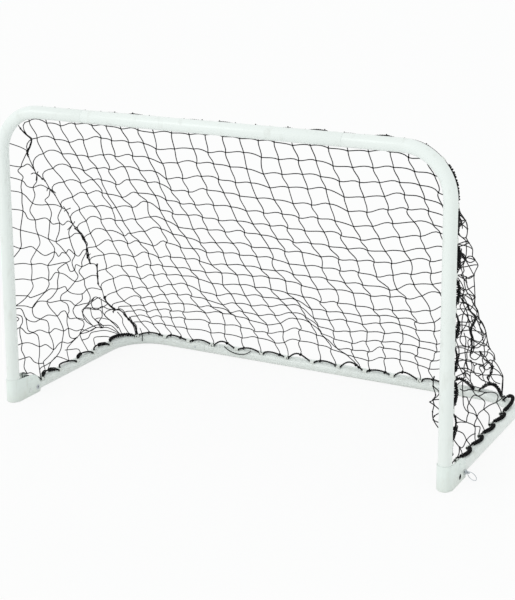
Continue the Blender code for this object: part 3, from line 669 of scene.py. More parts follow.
def swept(name: str, lines: Sequence[Sequence[Vector]], radius: float) -> bpy.types.Mesh:
    """Round cords of six sides along lines of points, as one mesh.

    Args:
        name: The mesh's name.
        lines: The lines.
        radius: Radius of every cord.

    Returns:
        The mesh.
    """
    curve = bpy.data.curves.new(name, "CURVE")
    curve.dimensions = "3D"
    curve.bevel_depth = radius
    curve.bevel_resolution = 1
    curve.use_fill_caps = True
    for points in lines:
        spline = curve.splines.new("POLY")
        spline.points.add(len(points) - 1)
        spline.points.foreach_set("co", [value for p in points for value in (*p, 1.0)])
    helper = new_object(name, curve)
    mesh = settled(helper, name)
    bpy.data.objects.remove(helper)
    bpy.data.curves.remove(curve)
    return mesh


# ---------------------------------------------------------------- frame lines


@dataclass(frozen=True)
class FrameLine:
    """The centre line of a bent frame from left end to right end, with the side its clips sit on.

    Attributes:
        foot: Left end.
        leg: Direction of the left leg.
        leg_length: From the foot to the corner, were it square.
        normal: The normal of the frame's plane on the clips' side.
        tube_r: The tube's radius.
        clip_deg: How far the clips stand off the plane's normal, outwards, in degrees.
    """

    foot: Vector
    leg: Vector
    leg_length: float
    normal: Vector
    tube_r: float
    clip_deg: float

    @property
    def straight(self) -> float:
        """Length of each leg's straight part."""
        return self.leg_length - BEND_RADIUS

    @property
    def bend_end(self) -> float:
        """Mark where the left bend ends and the bar starts."""
        return self.straight + BEND_RADIUS * math.pi / 2

    @property
    def corner(self) -> float:
        """Mark of the middle of the left bend."""
        return self.straight + BEND_RADIUS * math.pi / 4

    @property
    def length(self) -> float:
        """Length of the whole line."""
        return 2 * (self.bend_end + HALF_SPACING - BEND_RADIUS)

    def mark_of(self, x: float) -> float:
        """The mark of the bar, or of its bends, at an X."""
        flat = HALF_SPACING - BEND_RADIUS
        near = self.bend_end + flat - abs(x)
        if abs(x) > flat:
            near = self.straight + BEND_RADIUS * math.acos(min((abs(x) - flat) / BEND_RADIUS, 1.0))
        return near if x < 0 else self.length - near

    def at(self, mark: float) -> tuple[Vector, Vector]:
        """Point and direction at a distance along the line.

        Args:
            mark: The distance from the left end.

        Returns:
            The point and the unit direction towards the right end.
        """
        near = min(mark, self.length - mark)
        if near <= self.straight:
            point, way = self.foot + self.leg * near, self.leg.copy()
        elif near <= self.bend_end:
            turn = (near - self.straight) / BEND_RADIUS
            centre = self.foot + self.leg * self.straight + ACROSS * BEND_RADIUS
            point = centre + (self.leg * math.sin(turn) - ACROSS * math.cos(turn)) * BEND_RADIUS
            way = self.leg * math.cos(turn) + ACROSS * math.sin(turn)
        else:
            point = self.foot + self.leg * self.leg_length + ACROSS * (BEND_RADIUS + near - self.bend_end)
            way = ACROSS.copy()
        if mark > self.length / 2:
            point = Vector((-point.x, point.y, point.z))
            way = Vector((way.x, -way.y, -way.z))
        return point, way

    def outward(self, mark: float) -> Vector:
        """Unit vector from the tube's line to its clips."""
        _, way = self.at(mark)
        turn = math.radians(self.clip_deg)
        return way.cross(self.normal).normalized() * math.sin(turn) + self.normal * math.cos(turn)

    def rope_point(self, mark: float, lift: float = 0.0, aside: float = 0.0) -> Vector:
        """A point of the border rope.

        Args:
            mark: Distance along the line.
            lift: How far it stands off its clipped place.
            aside: How far it has slipped round the tube.

        Returns:
            The rope's centre.
        """
        point, way = self.at(mark)
        away = self.outward(mark)
        reach = self.tube_r + ROPE_LIFT + ROPE_R
        return point + Matrix.Rotation(-aside / reach, 3, way) @ away * (reach + lift)

    def clip_place(self, mark: float) -> Matrix:
        """The matrix that puts a clip on the tube: X across it, Y away from it, Z along it."""
        point, way = self.at(mark)
        away = self.outward(mark)
        across = away.cross(way)
        rows = [(across[i], away[i], way[i], point[i]) for i in range(3)]
        return Matrix((*rows, (0, 0, 0, 1)))


ARCH = FrameLine(Vector((-HALF_SPACING, POST_Y, 0.0)), UP, CROSSBAR_Z, BACK, ARCH_TUBE_R, 28.0)
BASE = FrameLine(Vector((-HALF_SPACING, POST_Y, RAIL_Z)), BACK, REAR_Y - POST_Y, UP, BASE_TUBE_R, 45.0)
ARCH_BAR = Vector((0.0, POST_Y, CROSSBAR_Z))
REAR_BAR = Vector((0.0, REAR_Y, RAIL_Z))


# ---------------------------------------------------------------- frame tubes


@dataclass
class FrameTubes:
    """The six coated tubes of the arch and the ground frame, with their joints.

    Attributes:
        wall: Wall of every tube.
        arch_joint_x: Where the crossbar meets the bent posts.
        rear_joint_x: Where the rear bar meets the bent rails.
        sides: Sides of a tube's section.
        bend_steps: Steps of a bend.
        neck: How far a bar's necked end goes into the bent piece.
        neck_gap: Room between the neck and the piece that it goes into.
        swage: Length over which the bore narrows to the neck's.
        lip: Rounding of a tube's open end.
        foot_z: Where a post starts, above the boot's sole.
        nose_reach: How far a rail starts in front of its pivot.
        nose_r: Rounding of a rail's nose about the pivot.
        pivot_hole_r: Radius of the hole for the pivot rivet.
        lock_hole_r: Radius of the hole for the lock pin.
        button_set: From a joint to its spring button.
        hole_r: Radius of a spring button's hole.
    """

    wall: float = 0.0016
    arch_joint_x: float = 0.545
    rear_joint_x: float = 0.540
    sides: int = 48
    bend_steps: int = 24
    neck: float = 0.075
    neck_gap: float = 0.0006
    swage: float = 0.006
    lip: float = 0.0007
    foot_z: float = 0.0043
    nose_reach: float = 0.034
    nose_r: float = 0.0236
    pivot_hole_r: float = 0.0088
    lock_hole_r: float = 0.0043
    button_set: float = 0.049
    hole_r: float = 0.0045

    def bent(self, name: str, line: FrameLine, side: Side, start: float, joint_x: float) -> bpy.types.Object:
        """Draw a tube up its leg, round its bend and in to its joint.

        Args:
            name: The piece's name.
            line: The frame's line.
            side: Which half.
            start: Mark where the tube starts.
            joint_x: Where it ends, from the middle.

        Returns:
            The tube.
        """
        shape = bmesh.new()
        rings = [bmesh.ops.create_circle(shape, segments=self.sides, radius=r)["verts"]
                 for r in (line.tube_r, line.tube_r - self.wall)]
        edges = {edge for ring in rings for vert in ring for edge in vert.link_edges}
        bmesh.ops.bridge_loops(shape, edges=list(edges))
        point, way = line.at(start)
        bmesh.ops.transform(shape, matrix=along(point, way), verts=shape.verts)
        end = drawn(shape, list(shape.faces), way * (line.straight - start))
        centre = line.foot + line.leg * line.straight + ACROSS * BEND_RADIUS
        made = bmesh.ops.spin(shape, geom=region(end), cent=centre, axis=line.leg.cross(ACROSS),
                              angle=math.pi / 2, steps=self.bend_steps, use_duplicate=False)
        end = [item for item in made["geom_last"] if isinstance(item, bmesh.types.BMFace)]
        end = drawn(shape, end, ACROSS * (HALF_SPACING - BEND_RADIUS - joint_x))
        self.rounded_mouth(shape, end, line.tube_r)
        if side is Side.RIGHT:
            bmesh.ops.scale(shape, vec=(-1, 1, 1), verts=shape.verts)
        return new_object(name, to_mesh(shape, name))

    def rounded_mouth(self, shape: bmesh.types.BMesh, end: Sequence[bmesh.types.BMFace], radius: float) -> None:
        """Round the outer edge of a tube's open end.

        Args:
            shape: The tube.
            end: The faces of its end.
            radius: The tube's radius.
        """
        middle = sum((face.calc_center_median() for face in end), Vector()) / len(end)
        rim = {edge for face in end for edge in face.edges
               if min((vert.co - middle).length for vert in edge.verts) > radius - self.wall / 2}
        rounded(shape, list(rim), self.lip, 2)

    def bar(self, name: str, centre: Vector, radius: float, joint_x: float) -> bpy.types.Object:
        """Turn a straight bar whose necked ends go into the bent pieces.

        Args:
            name: The piece's name.
            centre: Middle of its line.
            radius: Its radius.
            joint_x: Half its showing length.

        Returns:
            The bar.
        """
        neck = radius - self.wall - self.neck_gap
        shoulder = joint_x - GAP
        tip = joint_x + self.neck
        half = [(radius, 0.0), (radius, shoulder - self.lip),
                (radius - 0.3 * self.lip, shoulder - 0.3 * self.lip), (radius - self.lip, shoulder),
                (neck, shoulder), (neck, tip), (neck - self.wall, tip),
                (neck - self.wall, shoulder - self.swage), (radius - self.wall, shoulder - 2 * self.swage)]
        mirrored = [(r, -h) for r, h in reversed(half[1:])]
        return lathe(name, half + mirrored, centre, ACROSS, self.sides)

    def drill(self, tube: bpy.types.Object, side: Side, joint_x: float, centre: Vector, facing: int) -> None:
        """Drill the hole of a spring button in a bent piece or a bar, beside the joint at joint_x."""
        start = centre + ACROSS * side.value * (joint_x + self.button_set)
        carve(tube, rod(self.hole_r, start, start + BACK * facing * 0.06, 24))

    def build(self) -> None:
        """Build the six tubes."""
        nose = PIVOT_Y - POST_Y - self.nose_reach
        for line, leg, bar, body, start, joint_x, centre, facing in (
                (ARCH, "post", "crossbar", Body.FRONT, self.foot_z, self.arch_joint_x, ARCH_BAR, 1),
                (BASE, "rail", "rear_bar", Body.BASE, nose, self.rear_joint_x, REAR_BAR, -1)):
            for side in Side:
                tube = self.bent(f"{side.word}_{leg}_tube", line, side, start, joint_x)
                if line is BASE:
                    self.shape_nose(tube, side)
                self.drill(tube, side, joint_x, centre, facing)
                mount(dressed(tube, POWDER_COAT), body, f"{side.word}_{leg}")
            tube = self.bar(f"{bar}_tube", centre, line.tube_r, joint_x)
            for side in Side:
                self.drill(tube, side, joint_x, centre, facing)
            mount(dressed(tube, POWDER_COAT), body, bar)

    def shape_nose(self, rail: bpy.types.Object, side: Side) -> None:
        """Round a rail's nose about the pivot and drill it for the rivet and the lock pin.

        Args:
            rail: The rail.
            side: Its side.
        """
        x = side.value * HALF_SPACING
        reach = 0.05
        nose = new_object("nose", block((x - reach, PIVOT_Y - reach, -reach), (x + reach, PIVOT_Y, 2 * reach)))
        carve(nose, rod(self.nose_r, (x - 2 * reach, PIVOT_Y, RAIL_Z), (x + 2 * reach, PIVOT_Y, RAIL_Z)))
        carve(rail, nose.data.copy())
        bpy.data.objects.remove(nose)
        for y, radius in ((PIVOT_Y, self.pivot_hole_r), (LOCK_Y, self.lock_hole_r)):
            carve(rail, rod(radius, (x - reach, y, RAIL_Z), (x + reach, y, RAIL_Z), 32))


# ---------------------------------------------------------------- hinge boots


@dataclass
class HingeBoots:
    """The two moulded corner boots with their rivets, bushes, ring pins and screws.

    Attributes:
        socket_r: Radius of the post's socket.
        outer_r: Radius outside the socket.
        height: Height of the socket's rim.
        sole: Thickness under the post.
        cheek_r: Radius of the cheeks about the pivot.
        cheek_start: Where the cheek's arc starts, in degrees.
        rim_back: How far back the level rim runs.
        pivot_back: From the post's line to the pivot.
        lock_reach: From the pivot to either lock hole.
        edge: Rounding of the bottom front edge.
        softness: Rounding of the other edges.
        rivet_r: Radius of the pivot rivet.
        rivet_bore: Radius of its open end.
        rivet_deep: Depth of that bore.
        pin_r: Radius of the lock pin.
        bush_r: Radius outside the inner bush.
        cheek_face: From the boot's middle to the outer face of a cheek.
        pin_collar_x: From there to the inner face of the pin's collar.
        pin_nose_x: To the tip of the pin.
        ring_r: Radius of the ring, to the middle of its wire.
        ring_wire_r: Radius of that wire.
        eye_x: From the boot's middle to the eye in the pin.
        eye_r: Radius of the eye.
        screw_z: Height of the screw.
        screw_hole_r: Radius of its hole.
    """

    socket_r: float = 0.0257
    outer_r: float = 0.0287
    height: float = 0.095
    sole: float = 0.004
    cheek_r: float = 0.066
    cheek_start: float = 97.0
    rim_back: float = 0.012
    pivot_back: float = 0.076
    lock_reach: float = 0.048
    edge: float = 0.006
    softness: float = 0.0009
    rivet_r: float = 0.0085
    rivet_bore: float = 0.0069
    rivet_deep: float = 0.040
    pin_r: float = 0.0040
    bush_r: float = 0.0070
    cheek_face: float = 0.0290
    pin_collar_x: float = 0.0337
    pin_nose_x: float = 0.0244
    ring_r: float = 0.0190
    ring_wire_r: float = 0.00125
    eye_x: float = 0.0422
    eye_r: float = 0.0021
    screw_z: float = 0.062
    screw_hole_r: float = 0.0025

    def plan_solid(self) -> bpy.types.Mesh:
        """The boot's plan drawn up: half round in front, straight sides."""
        shape = bmesh.new()
        bmesh.ops.create_circle(shape, segments=64, radius=self.outer_r)
        bmesh.ops.bisect_plane(shape, geom=shape.verts[:] + shape.edges[:], plane_co=(0, 0, 0),
                               plane_no=(0, 1, 0), clear_outer=True)
        ends = [vert for vert in shape.verts if len(vert.link_edges) == 1]
        made = bmesh.ops.extrude_vert_indiv(shape, verts=ends)["verts"]
        bmesh.ops.translate(shape, vec=(0, self.pivot_back + self.cheek_r + 0.01, 0), verts=made)
        shape.edges.new(made)
        bmesh.ops.edgeloop_fill(shape, edges=shape.edges[:])
        drawn(shape, list(shape.faces), UP * (self.height + 0.01))
        front = [edge for edge in shape.edges if max(abs(vert.co.z) for vert in edge.verts) < GAP
                 and max(vert.co.y for vert in edge.verts) < GAP]
        rounded(shape, front, self.edge, 4)
        return to_mesh(shape, "plan")

    def side_solid(self) -> bpy.types.Mesh:
        """The boot's side view drawn across: a level rim and a cheek rounded about the pivot."""
        shape = bmesh.new()
        low = -math.asin(RAIL_Z / self.cheek_r)
        first = math.radians(self.cheek_start)
        centre = Vector((0, self.pivot_back, RAIL_Z))
        start = shape.verts.new(centre + Vector((0, math.cos(first), math.sin(first))) * self.cheek_r)
        bmesh.ops.spin(shape, geom=[start], cent=centre, axis=(1, 0, 0), angle=low - first, steps=32,
                       use_duplicate=False)
        last = max((vert for vert in shape.verts if len(vert.link_edges) == 1 and vert is not start),
                   key=lambda vert: vert.co.y)
        outline = [last]
        for y, z in ((last.co.y, -GAP), (-0.05, -GAP), (-0.05, self.height), (self.rim_back, self.height)):
            outline.append(shape.verts.new((0, y, z)))
        outline.append(start)
        for pair in zip(outline, outline[1:]):
            shape.edges.new(pair)
        bmesh.ops.edgeloop_fill(shape, edges=shape.edges[:])
        bmesh.ops.translate(shape, vec=(-0.06, 0, 0), verts=shape.verts)
        drawn(shape, list(shape.faces), ACROSS * 0.12)
        return to_mesh(shape, "side")

    def boot(self, side: Side) -> None:
        """Mould one boot: plan and side view cut to what they share, then its socket, slot and holes.

        Args:
            side: Which corner.
        """
        x = side.value * HALF_SPACING
        place = Matrix.Translation((x, POST_Y, 0.0))
        plan, view = self.plan_solid(), self.side_solid()
        for mesh in (plan, view):
            mesh.transform(place)
        item = new_object(f"{side.word}_boot_moulding", plan)
        carve(item, view, "INTERSECT")
        carve(item, rod(self.socket_r, (x, POST_Y, self.sole), (x, POST_Y, 0.2), 64))
        slot = new_object("slot", block((x - self.socket_r, POST_Y, -0.01),
                                        (x + self.socket_r, POST_Y + 0.2, 0.12)))
        carve(slot, rod(self.outer_r, (x, POST_Y, -0.02), (x, POST_Y, 0.13), 64))
        carve(item, slot.data.copy())
        bpy.data.objects.remove(slot)
        reach = 0.06
        out = side.value * reach
        holes = [(self.rivet_r + GAP, PIVOT_Y, RAIL_Z, -reach, reach),
                 (self.pin_r + GAP, PIVOT_Y, RAIL_Z + self.lock_reach, -reach, reach),
                 (self.pin_r + GAP, LOCK_Y, RAIL_Z, 0.0, out), (self.bush_r + GAP, LOCK_Y, RAIL_Z, 0.0, -out)]
        for radius, y, z, near, far in holes:
            carve(item, rod(radius, (x + near, y, z), (x + far, y, z), 40))
        carve(item, rod(self.screw_hole_r, (x, POST_Y, self.screw_z), (x, POST_Y + 0.04, self.screw_z), 16))
        soften(item, self.softness)
        mount(dressed(item, BOOT_MOULDING), Body.FRONT, f"{side.word}_boot")

    def rivet(self, side: Side) -> None:
        """Turn a pivot rivet: a rolled open end on the outer cheek, a flat head on the inner one."""
        face, bore, deep = self.cheek_face, self.rivet_bore, self.rivet_deep
        profile = [(0.0, face + 0.0009 - deep), (bore - 0.001, face + 0.0009 - deep), (bore, face + 0.002 - deep),
                   (bore, face + 0.0002), (bore + 0.0006, face + 0.0009), (0.0098, face + 0.0009),
                   (0.0106, face + 0.0005), (0.0106, face), (self.rivet_r, face), (self.rivet_r, -face),
                   (0.0100, -face), (0.0100, -face - 0.0008), (0.0092, -face - 0.0014),
                   (0.0078, -face - 0.0016), (0.0, -face - 0.0016)]
        place = Vector((side.value * HALF_SPACING, PIVOT_Y, RAIL_Z))
        item = lathe(f"{side.word}_hinge_rivet", profile, place, (side.value, 0, 0), 48)
        dressed(item, RIVET_COAT)
        # Painted shade: faces inside the open bore and on its rolled lip take the near black finish, so the hollow
        # end shows dark.
        item.data.materials.append(material_of(BORE_SHADE_PAINT))
        for facet in item.data.polygons:
            off = facet.center - place
            inside = math.hypot(off.y, off.z) < bore + 0.0019 and off.x * side.value > 0
            facet.material_index = int(inside)
        mount(item, Body.FRONT, f"{side.word}_pivot_rivet")

    def bush(self, side: Side) -> None:
        """Turn the metal bush of the inner cheek."""
        bore, face = self.pin_r + GAP, self.cheek_face
        profile = [(bore, face + 0.0007), (bore + 0.0004, face + 0.001), (0.0085, face + 0.001),
                   (0.0096, face + 0.0007), (0.0100, face + 0.0003), (0.0100, face), (self.bush_r, face),
                   (self.bush_r, self.socket_r), (bore, self.socket_r)]
        place = Vector((side.value * HALF_SPACING, LOCK_Y, RAIL_Z))
        item = lathe(f"{side.word}_cheek_bush", profile, place, (-side.value, 0, 0))
        mount(dressed(item, ZINC_PLATE), Body.FRONT, f"{side.word}_pin_bush")

    def ring_pin(self, side: Side) -> None:
        """Turn a lock pin with its collar and eye, and bend its wire ring."""
        nose, inner, collar, stub = self.pin_nose_x, self.pin_collar_x, 0.0095, 0.0045
        end = inner + 0.0145
        profile = [(0.0, end), (0.0022, end - 0.0001), (0.0036, end - 0.0007), (stub, end - 0.0018),
                   (stub, inner + 0.0029), (0.0050, inner + 0.0025), (0.0081, inner + 0.0025),
                   (0.0091, inner + 0.0020), (collar, inner + 0.0013), (collar, inner + 0.0003), (0.0092, inner),
                   (self.pin_r, inner), (self.pin_r, nose + 0.001), (0.0030, nose), (0.0, nose)]
        x = side.value * HALF_SPACING
        eye = x + side.value * self.eye_x
        pin = lathe(f"{side.word}_pull_pin", profile, Vector((x, LOCK_Y, RAIL_Z)), (side.value, 0, 0))
        carve(pin, rod(self.eye_r, (eye, LOCK_Y - 0.01, RAIL_Z), (eye, LOCK_Y + 0.01, RAIL_Z), 20))
        mount(dressed(pin, ZINC_PLATE), f"{side.word}_lock_pin", f"{side.word}_lock_pin")
        shape = bmesh.new()
        bmesh.ops.create_circle(shape, segments=10, radius=self.ring_wire_r)
        lay = Matrix.Translation((self.ring_r, 0, 0)) @ Matrix.Rotation(math.pi / 2, 4, "X")
        bmesh.ops.transform(shape, matrix=lay, verts=shape.verts)
        bmesh.ops.spin(shape, geom=shape.verts[:] + shape.edges[:], cent=(0, 0, 0), axis=(0, 0, 1),
                       angle=2 * math.pi, steps=48, use_merge=True, use_duplicate=False)
        drop = math.asin((RAIL_Z - self.ring_wire_r - SLIVER) / (2 * self.ring_r))
        hang = (Matrix.Translation((eye, LOCK_Y, RAIL_Z)) @ Matrix.Rotation(side.value * drop, 4, "Y")
                @ Matrix.Translation((side.value * self.ring_r, 0, 0)))
        bmesh.ops.transform(shape, matrix=hang, verts=shape.verts)
        ring = new_object(f"{side.word}_pull_ring", to_mesh(shape, "ring"))
        mount(dressed(ring, ZINC_PLATE, 60.0), f"{side.word}_pin_ring", f"{side.word}_pin_ring")

    def screw(self, side: Side) -> None:
        """Turn the pan head screw at the back of a socket and press its cross."""
        face, head = self.outer_r + GAP, 0.0024
        profile = [(0.0, face + head), (0.0022, face + 0.97 * head), (0.0038, face + 0.75 * head),
                   (0.0047, face + 0.4 * head), (0.0050, face + 0.1 * head), (0.0049, face), (0.0022, face),
                   (0.0022, face - 0.0098), (0.0, face - 0.012)]
        x = side.value * HALF_SPACING
        item = lathe(f"{side.word}_socket_screw", profile, Vector((x, POST_Y, self.screw_z)), (0, 1, 0), 32)
        top = POST_Y + face + head
        for wide, high in ((0.0026, 0.0005), (0.0005, 0.0026)):
            carve(item, block((x - wide, top - 0.0013, self.screw_z - high),
                              (x + wide, top + 0.001, self.screw_z + high)))
        mount(dressed(item, ZINC_PLATE), Body.FRONT, f"{side.word}_boot_screw")

    def build(self) -> None:
        """Build both corners."""
        for side in Side:
            for make in (self.boot, self.rivet, self.bush, self.ring_pin, self.screw):
                make(side)


@dataclass
class SpringButtons:
    """The four domed spring buttons and the leaf springs under them, and the finish of the rail plugs.

    Attributes:
        radius: Radius of a stud.
        proud: How far it stands out of the tube.
        dome: Height of its dome.
        flange_r: Radius of its flange.
        flange_gap: From the neck's wall to the flange.
        travel: How far a stud goes in; not used.
    """

    radius: float = 0.0040
    proud: float = 0.0025
    dome: float = 0.0014
    flange_r: float = 0.0062
    flange_gap: float = 0.0017
    travel: float = 0.0045

    def build(self) -> None:
        """Turn the studs, put the springs under them and dress the plugs."""
        tubes = FrameTubes()
        for row, line, centre, facing, joint_x in (("arch", ARCH, ARCH_BAR, 1, tubes.arch_joint_x),
                                                   ("rear", BASE, REAR_BAR, -1, tubes.rear_joint_x)):
            flange = line.tube_r - 2 * tubes.wall - tubes.neck_gap - self.flange_gap
            top = line.tube_r + self.proud
            profile = [(0.0, top), (0.0011, top - 0.0001), (0.0022, top - 0.0004), (0.0032, top - 0.0009),
                       (0.0038, top - self.dome), (self.radius, top - self.dome - 0.0006), (self.radius, flange),
                       (self.flange_r, flange), (self.flange_r, flange - 0.001), (0.0, flange - 0.001)]
            for side in Side:
                place = centre + ACROSS * side.value * (joint_x + tubes.button_set)
                item = lathe(f"{row}_{side.word}_stud", profile, place, (0, facing, 0), 32)
                button = f"{row}_{side.word}_button"
                mount(dressed(item, ZINC_PLATE), button, button)
                self.leaf(row, side)
        for side in Side:
            self.dress_node(f"{side.word}_rail_plug", PLUG_MOULDING)

    def leaf(self, row: str, side: Side) -> None:
        """The folded leaf spring under a stud, which closes as the stud goes in.

        Args:
            row: The joint's row, arch or rear.
            side: Which side of the goal.
        """
        node = f"{row}_{side.word}_spring"
        shape = bmesh.new()
        shape.from_mesh(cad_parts[node].data)
        bmesh.ops.remove_doubles(shape, verts=shape.verts[:], dist=1e-5)
        item = new_object(f"{row}_{side.word}_leaf_spring", to_mesh(shape, node))
        mount(dressed(item, ZINC_PLATE), Body.FRONT if row == "arch" else Body.BASE, node)
        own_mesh(item)

    @staticmethod
    def dress_node(name: str, finish: Finish) -> None:
        """Give a CAD node that stays its finish."""
        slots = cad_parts[name].material_slots
        if not slots:
            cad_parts[name].data.materials.append(material_of(finish))
        for place in slots:
            place.material = material_of(finish)
        LOG.info("%s keeps its solid", name)


# ---------------------------------------------------------------- clips and rope


@dataclass
class NetClips:
    """The small saddles that hold the border rope on the tubes.

    Attributes:
        bore: Radius inside the saddle.
        wall: Its thickness.
        length: Its length along the tube.
        pitch: Distance between clips on the bars.
        first: Mark of the first clip on posts and rails.
        bend_gap: From a post's last clip to its bend.
        rail_count: Clips along a rail's straight part.
        bar_half: Clips of a bar on either side of its middle one.
        rim: Width of the bevel round the saddle's ends.
    """

    bore: float = 0.0046
    wall: float = 0.0020
    length: float = 0.018
    pitch: float = 0.125
    first: float = 0.165
    bend_gap: float = 0.020
    rail_count: int = 5
    bar_half: int = 6
    rim: float = 0.0006

    @property
    def leg_marks(self) -> list[float]:
        """Marks of the clips up the left post."""
        last = CROSSBAR_Z - BEND_RADIUS - self.bend_gap
        count = round((last - self.first) / self.pitch)
        return [self.first + (last - self.first) * i / count for i in range(count + 1)]

    @property
    def rail_marks(self) -> list[float]:
        """Marks of the clips back along the left rail and at its bend."""
        return [self.first + self.pitch * i for i in range(self.rail_count)] + [BASE.corner]

    def bar_marks(self, line: FrameLine) -> list[float]:
        """Marks of the clips of a bar."""
        return [line.length / 2 + self.pitch * i for i in range(-self.bar_half, self.bar_half + 1)]

    def marks(self, line: FrameLine) -> list[float]:
        """Every clip mark of a frame, left to right."""
        left = self.leg_marks + [ARCH.corner] if line is ARCH else self.rail_marks
        return left + self.bar_marks(line) + [line.length - mark for mark in reversed(left)]

    def saddle(self, line: FrameLine) -> bmesh.types.BMesh:
        """Bend one saddle over the rope with its feet on the tube.

        Args:
            line: The frame that it sits on.

        Returns:
            The saddle: X across the tube, Y away from it, Z along it.
        """
        centre = line.tube_r + ROPE_LIFT + ROPE_R
        shape = bmesh.new()
        bmesh.ops.create_grid(shape, x_segments=1, y_segments=1, size=0.5)
        bmesh.ops.scale(shape, vec=(self.wall, self.length, 1), verts=shape.verts)
        bmesh.ops.rotate(shape, cent=(0, 0, 0), matrix=Matrix.Rotation(math.pi / 2, 3, "X"), verts=shape.verts)
        bmesh.ops.translate(shape, vec=(self.bore + self.wall / 2, centre, 0), verts=shape.verts)
        first = drawn(shape, list(shape.faces), Vector((0, SLIVER, 0)))
        near = [face for face in shape.faces if abs(face.normal.y) > 0.9 and face not in first]
        made = bmesh.ops.spin(shape, geom=region(first), cent=(0, centre + SLIVER, 0), axis=(0, 0, 1),
                              angle=math.pi, steps=10, use_duplicate=False)
        last = [item for item in made["geom_last"] if isinstance(item, bmesh.types.BMFace)]
        for faces in (near, last):
            end = drawn(shape, faces, Vector((0, 0, 0)))
            for vert in {vert for face in end for vert in face.verts}:
                vert.co.y = math.sqrt((line.tube_r + SLIVER) ** 2 - vert.co.x ** 2)
        bmesh.ops.remove_doubles(shape, verts=shape.verts, dist=1e-5)
        bmesh.ops.recalc_face_normals(shape, faces=shape.faces)
        rims = [edge for edge in shape.edges if len(edge.link_faces) == 2 and edge.calc_face_angle() > 1.0
                and min(abs(vert.co.z) for vert in edge.verts) > self.length / 2 - 1e-5]
        rounded(shape, rims, self.rim, 1)
        return shape

    def build(self) -> None:
        """Build the clips: one piece for the arch, one for each node of the ground frame."""
        arch = bmesh.new()
        one = to_mesh(self.saddle(ARCH), "arch_saddle")
        for mark in self.marks(ARCH):
            copied(arch, one, ARCH.clip_place(mark))
        item = new_object("arch_saddles", to_mesh(arch, "arch_saddles", False))
        mount(dressed(item, CLIP_MOULDING), Body.FRONT)
        one = to_mesh(self.saddle(BASE), "base_saddle")
        groups = [(f"{Side.LEFT.word}_rail", self.rail_marks), ("rear_bar", self.bar_marks(BASE)),
                  (f"{Side.RIGHT.word}_rail", [BASE.length - mark for mark in self.rail_marks])]
        for word, marks in groups:
            for number, mark in enumerate(marks, 1):
                mesh = one.copy()
                mesh.transform(BASE.clip_place(mark))
                item = new_object(f"{word}_saddle_{number}", mesh)
                mount(dressed(item, CLIP_MOULDING), Body.BASE, f"{word}_clip_{number}")


@dataclass
class BorderRope:
    """The laid rope round the net's border, clipped to a frame and slack between its clips.

    Attributes:
        line: The frame's line.
        first: Mark of the rope's left end.
        clips: Marks of the clips that hold it.
        slack: Highest lift between two clips, for the legs and for the bar.
        seed: Seed of the slack.
        swells: Stretches that the net lifts: both marks, the lift and the slip round the tube.
        pitch: Length of one turn of the lay.
        step: Distance between two points of the route.
        held: How far from a clip's middle the rope can't lift.
        blunt: Powers that shape the lift and the slip between two clips.
        press: How far the strands press into each other.
        knot: Radius of an end's knot, in rope radii.
        spans: Each span's lift, slip and lean, drawn once.
    """

    line: FrameLine
    first: float
    clips: list[float]
    slack: tuple[float, float]
    seed: int
    swells: Sequence[tuple[float, float, float, float]] = ()
    pitch: float = 0.026
    step: float = 0.0033
    held: float = 0.0095
    blunt: tuple[float, float] = (1.4, 0.5)
    press: float = 1.04
    knot: float = 1.7
    spans: list[tuple[float, float, float]] = field(default_factory=list)

    def __post_init__(self) -> None:
        """Draw each span's lift, slip and lean once."""
        draw = random.Random(self.seed)
        for low, high in zip(self.clips, self.clips[1:]):
            on_bar = self.line.bend_end < (low + high) / 2 < self.line.length - self.line.bend_end
            most = self.slack[1] if on_bar else self.slack[0]
            right = (low + high) / 2 > self.line.length / 2
            lift = most * draw.uniform(0.45, 1.0) * (1.0 if right or not on_bar else 0.55)
            slip, lean = draw.uniform(-0.5, 0.5) * most * 0.6, draw.uniform(0.55, 0.95)
            for first, last, swell, aside in self.swells:
                if first < (low + high) / 2 < last:
                    lift, slip = swell * draw.uniform(0.8, 1.1), aside
            self.spans.append((lift, slip, lean))

    def path(self, mark: float) -> Vector:
        """The rope's centre at a mark.

        Args:
            mark: Distance along the frame's line.

        Returns:
            The point.
        """
        lift = aside = 0.0
        for low, high, (most, slip, lean) in zip(self.clips, self.clips[1:], self.spans):
            if low < mark < high:
                share = min(max((mark - low - self.held) / (high - low - 2 * self.held), 0.0), 1.0)
                wave = math.sin(math.pi * share ** lean)
                lift, aside = most * wave ** self.blunt[0], slip * wave ** self.blunt[1]
        return self.line.rope_point(mark, lift, aside)

    def build(self, name: str, body: Body, node: str) -> None:
        """Lay the rope: three strands turned about its route, with a knot at each end.

        Args:
            name: The piece's name.
            body: The body that it rides on.
            node: The CAD node that it stands for.
        """
        last = self.line.length - self.first
        count = int((last - self.first) / self.step)
        marks = [self.first + (last - self.first) * i / count for i in range(count + 1)]
        strand_r = ROPE_R / (1 + 2 / math.sqrt(3)) * self.press
        lay_r = ROPE_R - strand_r
        strands: list[list[Vector]] = [[], [], []]
        points = [self.path(mark) for mark in marks]
        for index, (mark, point) in enumerate(zip(marks, points)):
            way = (points[min(index + 1, count)] - points[max(index - 1, 0)]).normalized()
            out = self.line.outward(mark)
            out = (out - way * out.dot(way)).normalized()
            beside = way.cross(out)
            for number, strand in enumerate(strands):
                turn = 2 * math.pi * (mark / self.pitch + number / 3)
                strand.append(point + (out * math.cos(turn) + beside * math.sin(turn)) * lay_r)
        shape = bmesh.new()
        shape.from_mesh(swept(name, strands, strand_r))
        for point in (points[2], points[-3]):
            knot = bmesh.ops.create_icosphere(shape, subdivisions=2, radius=ROPE_R * self.knot,
                                              matrix=Matrix.Translation(point))["verts"]
            bmesh.ops.scale(shape, vec=(1, 1, 1.1), space=Matrix.Translation(-point), verts=knot)
        item = new_object(name, to_mesh(shape, name, False))
        mount(dressed(item, ROPE_FIBRE, 60.0), body, node)


# ---------------------------------------------------------------- net

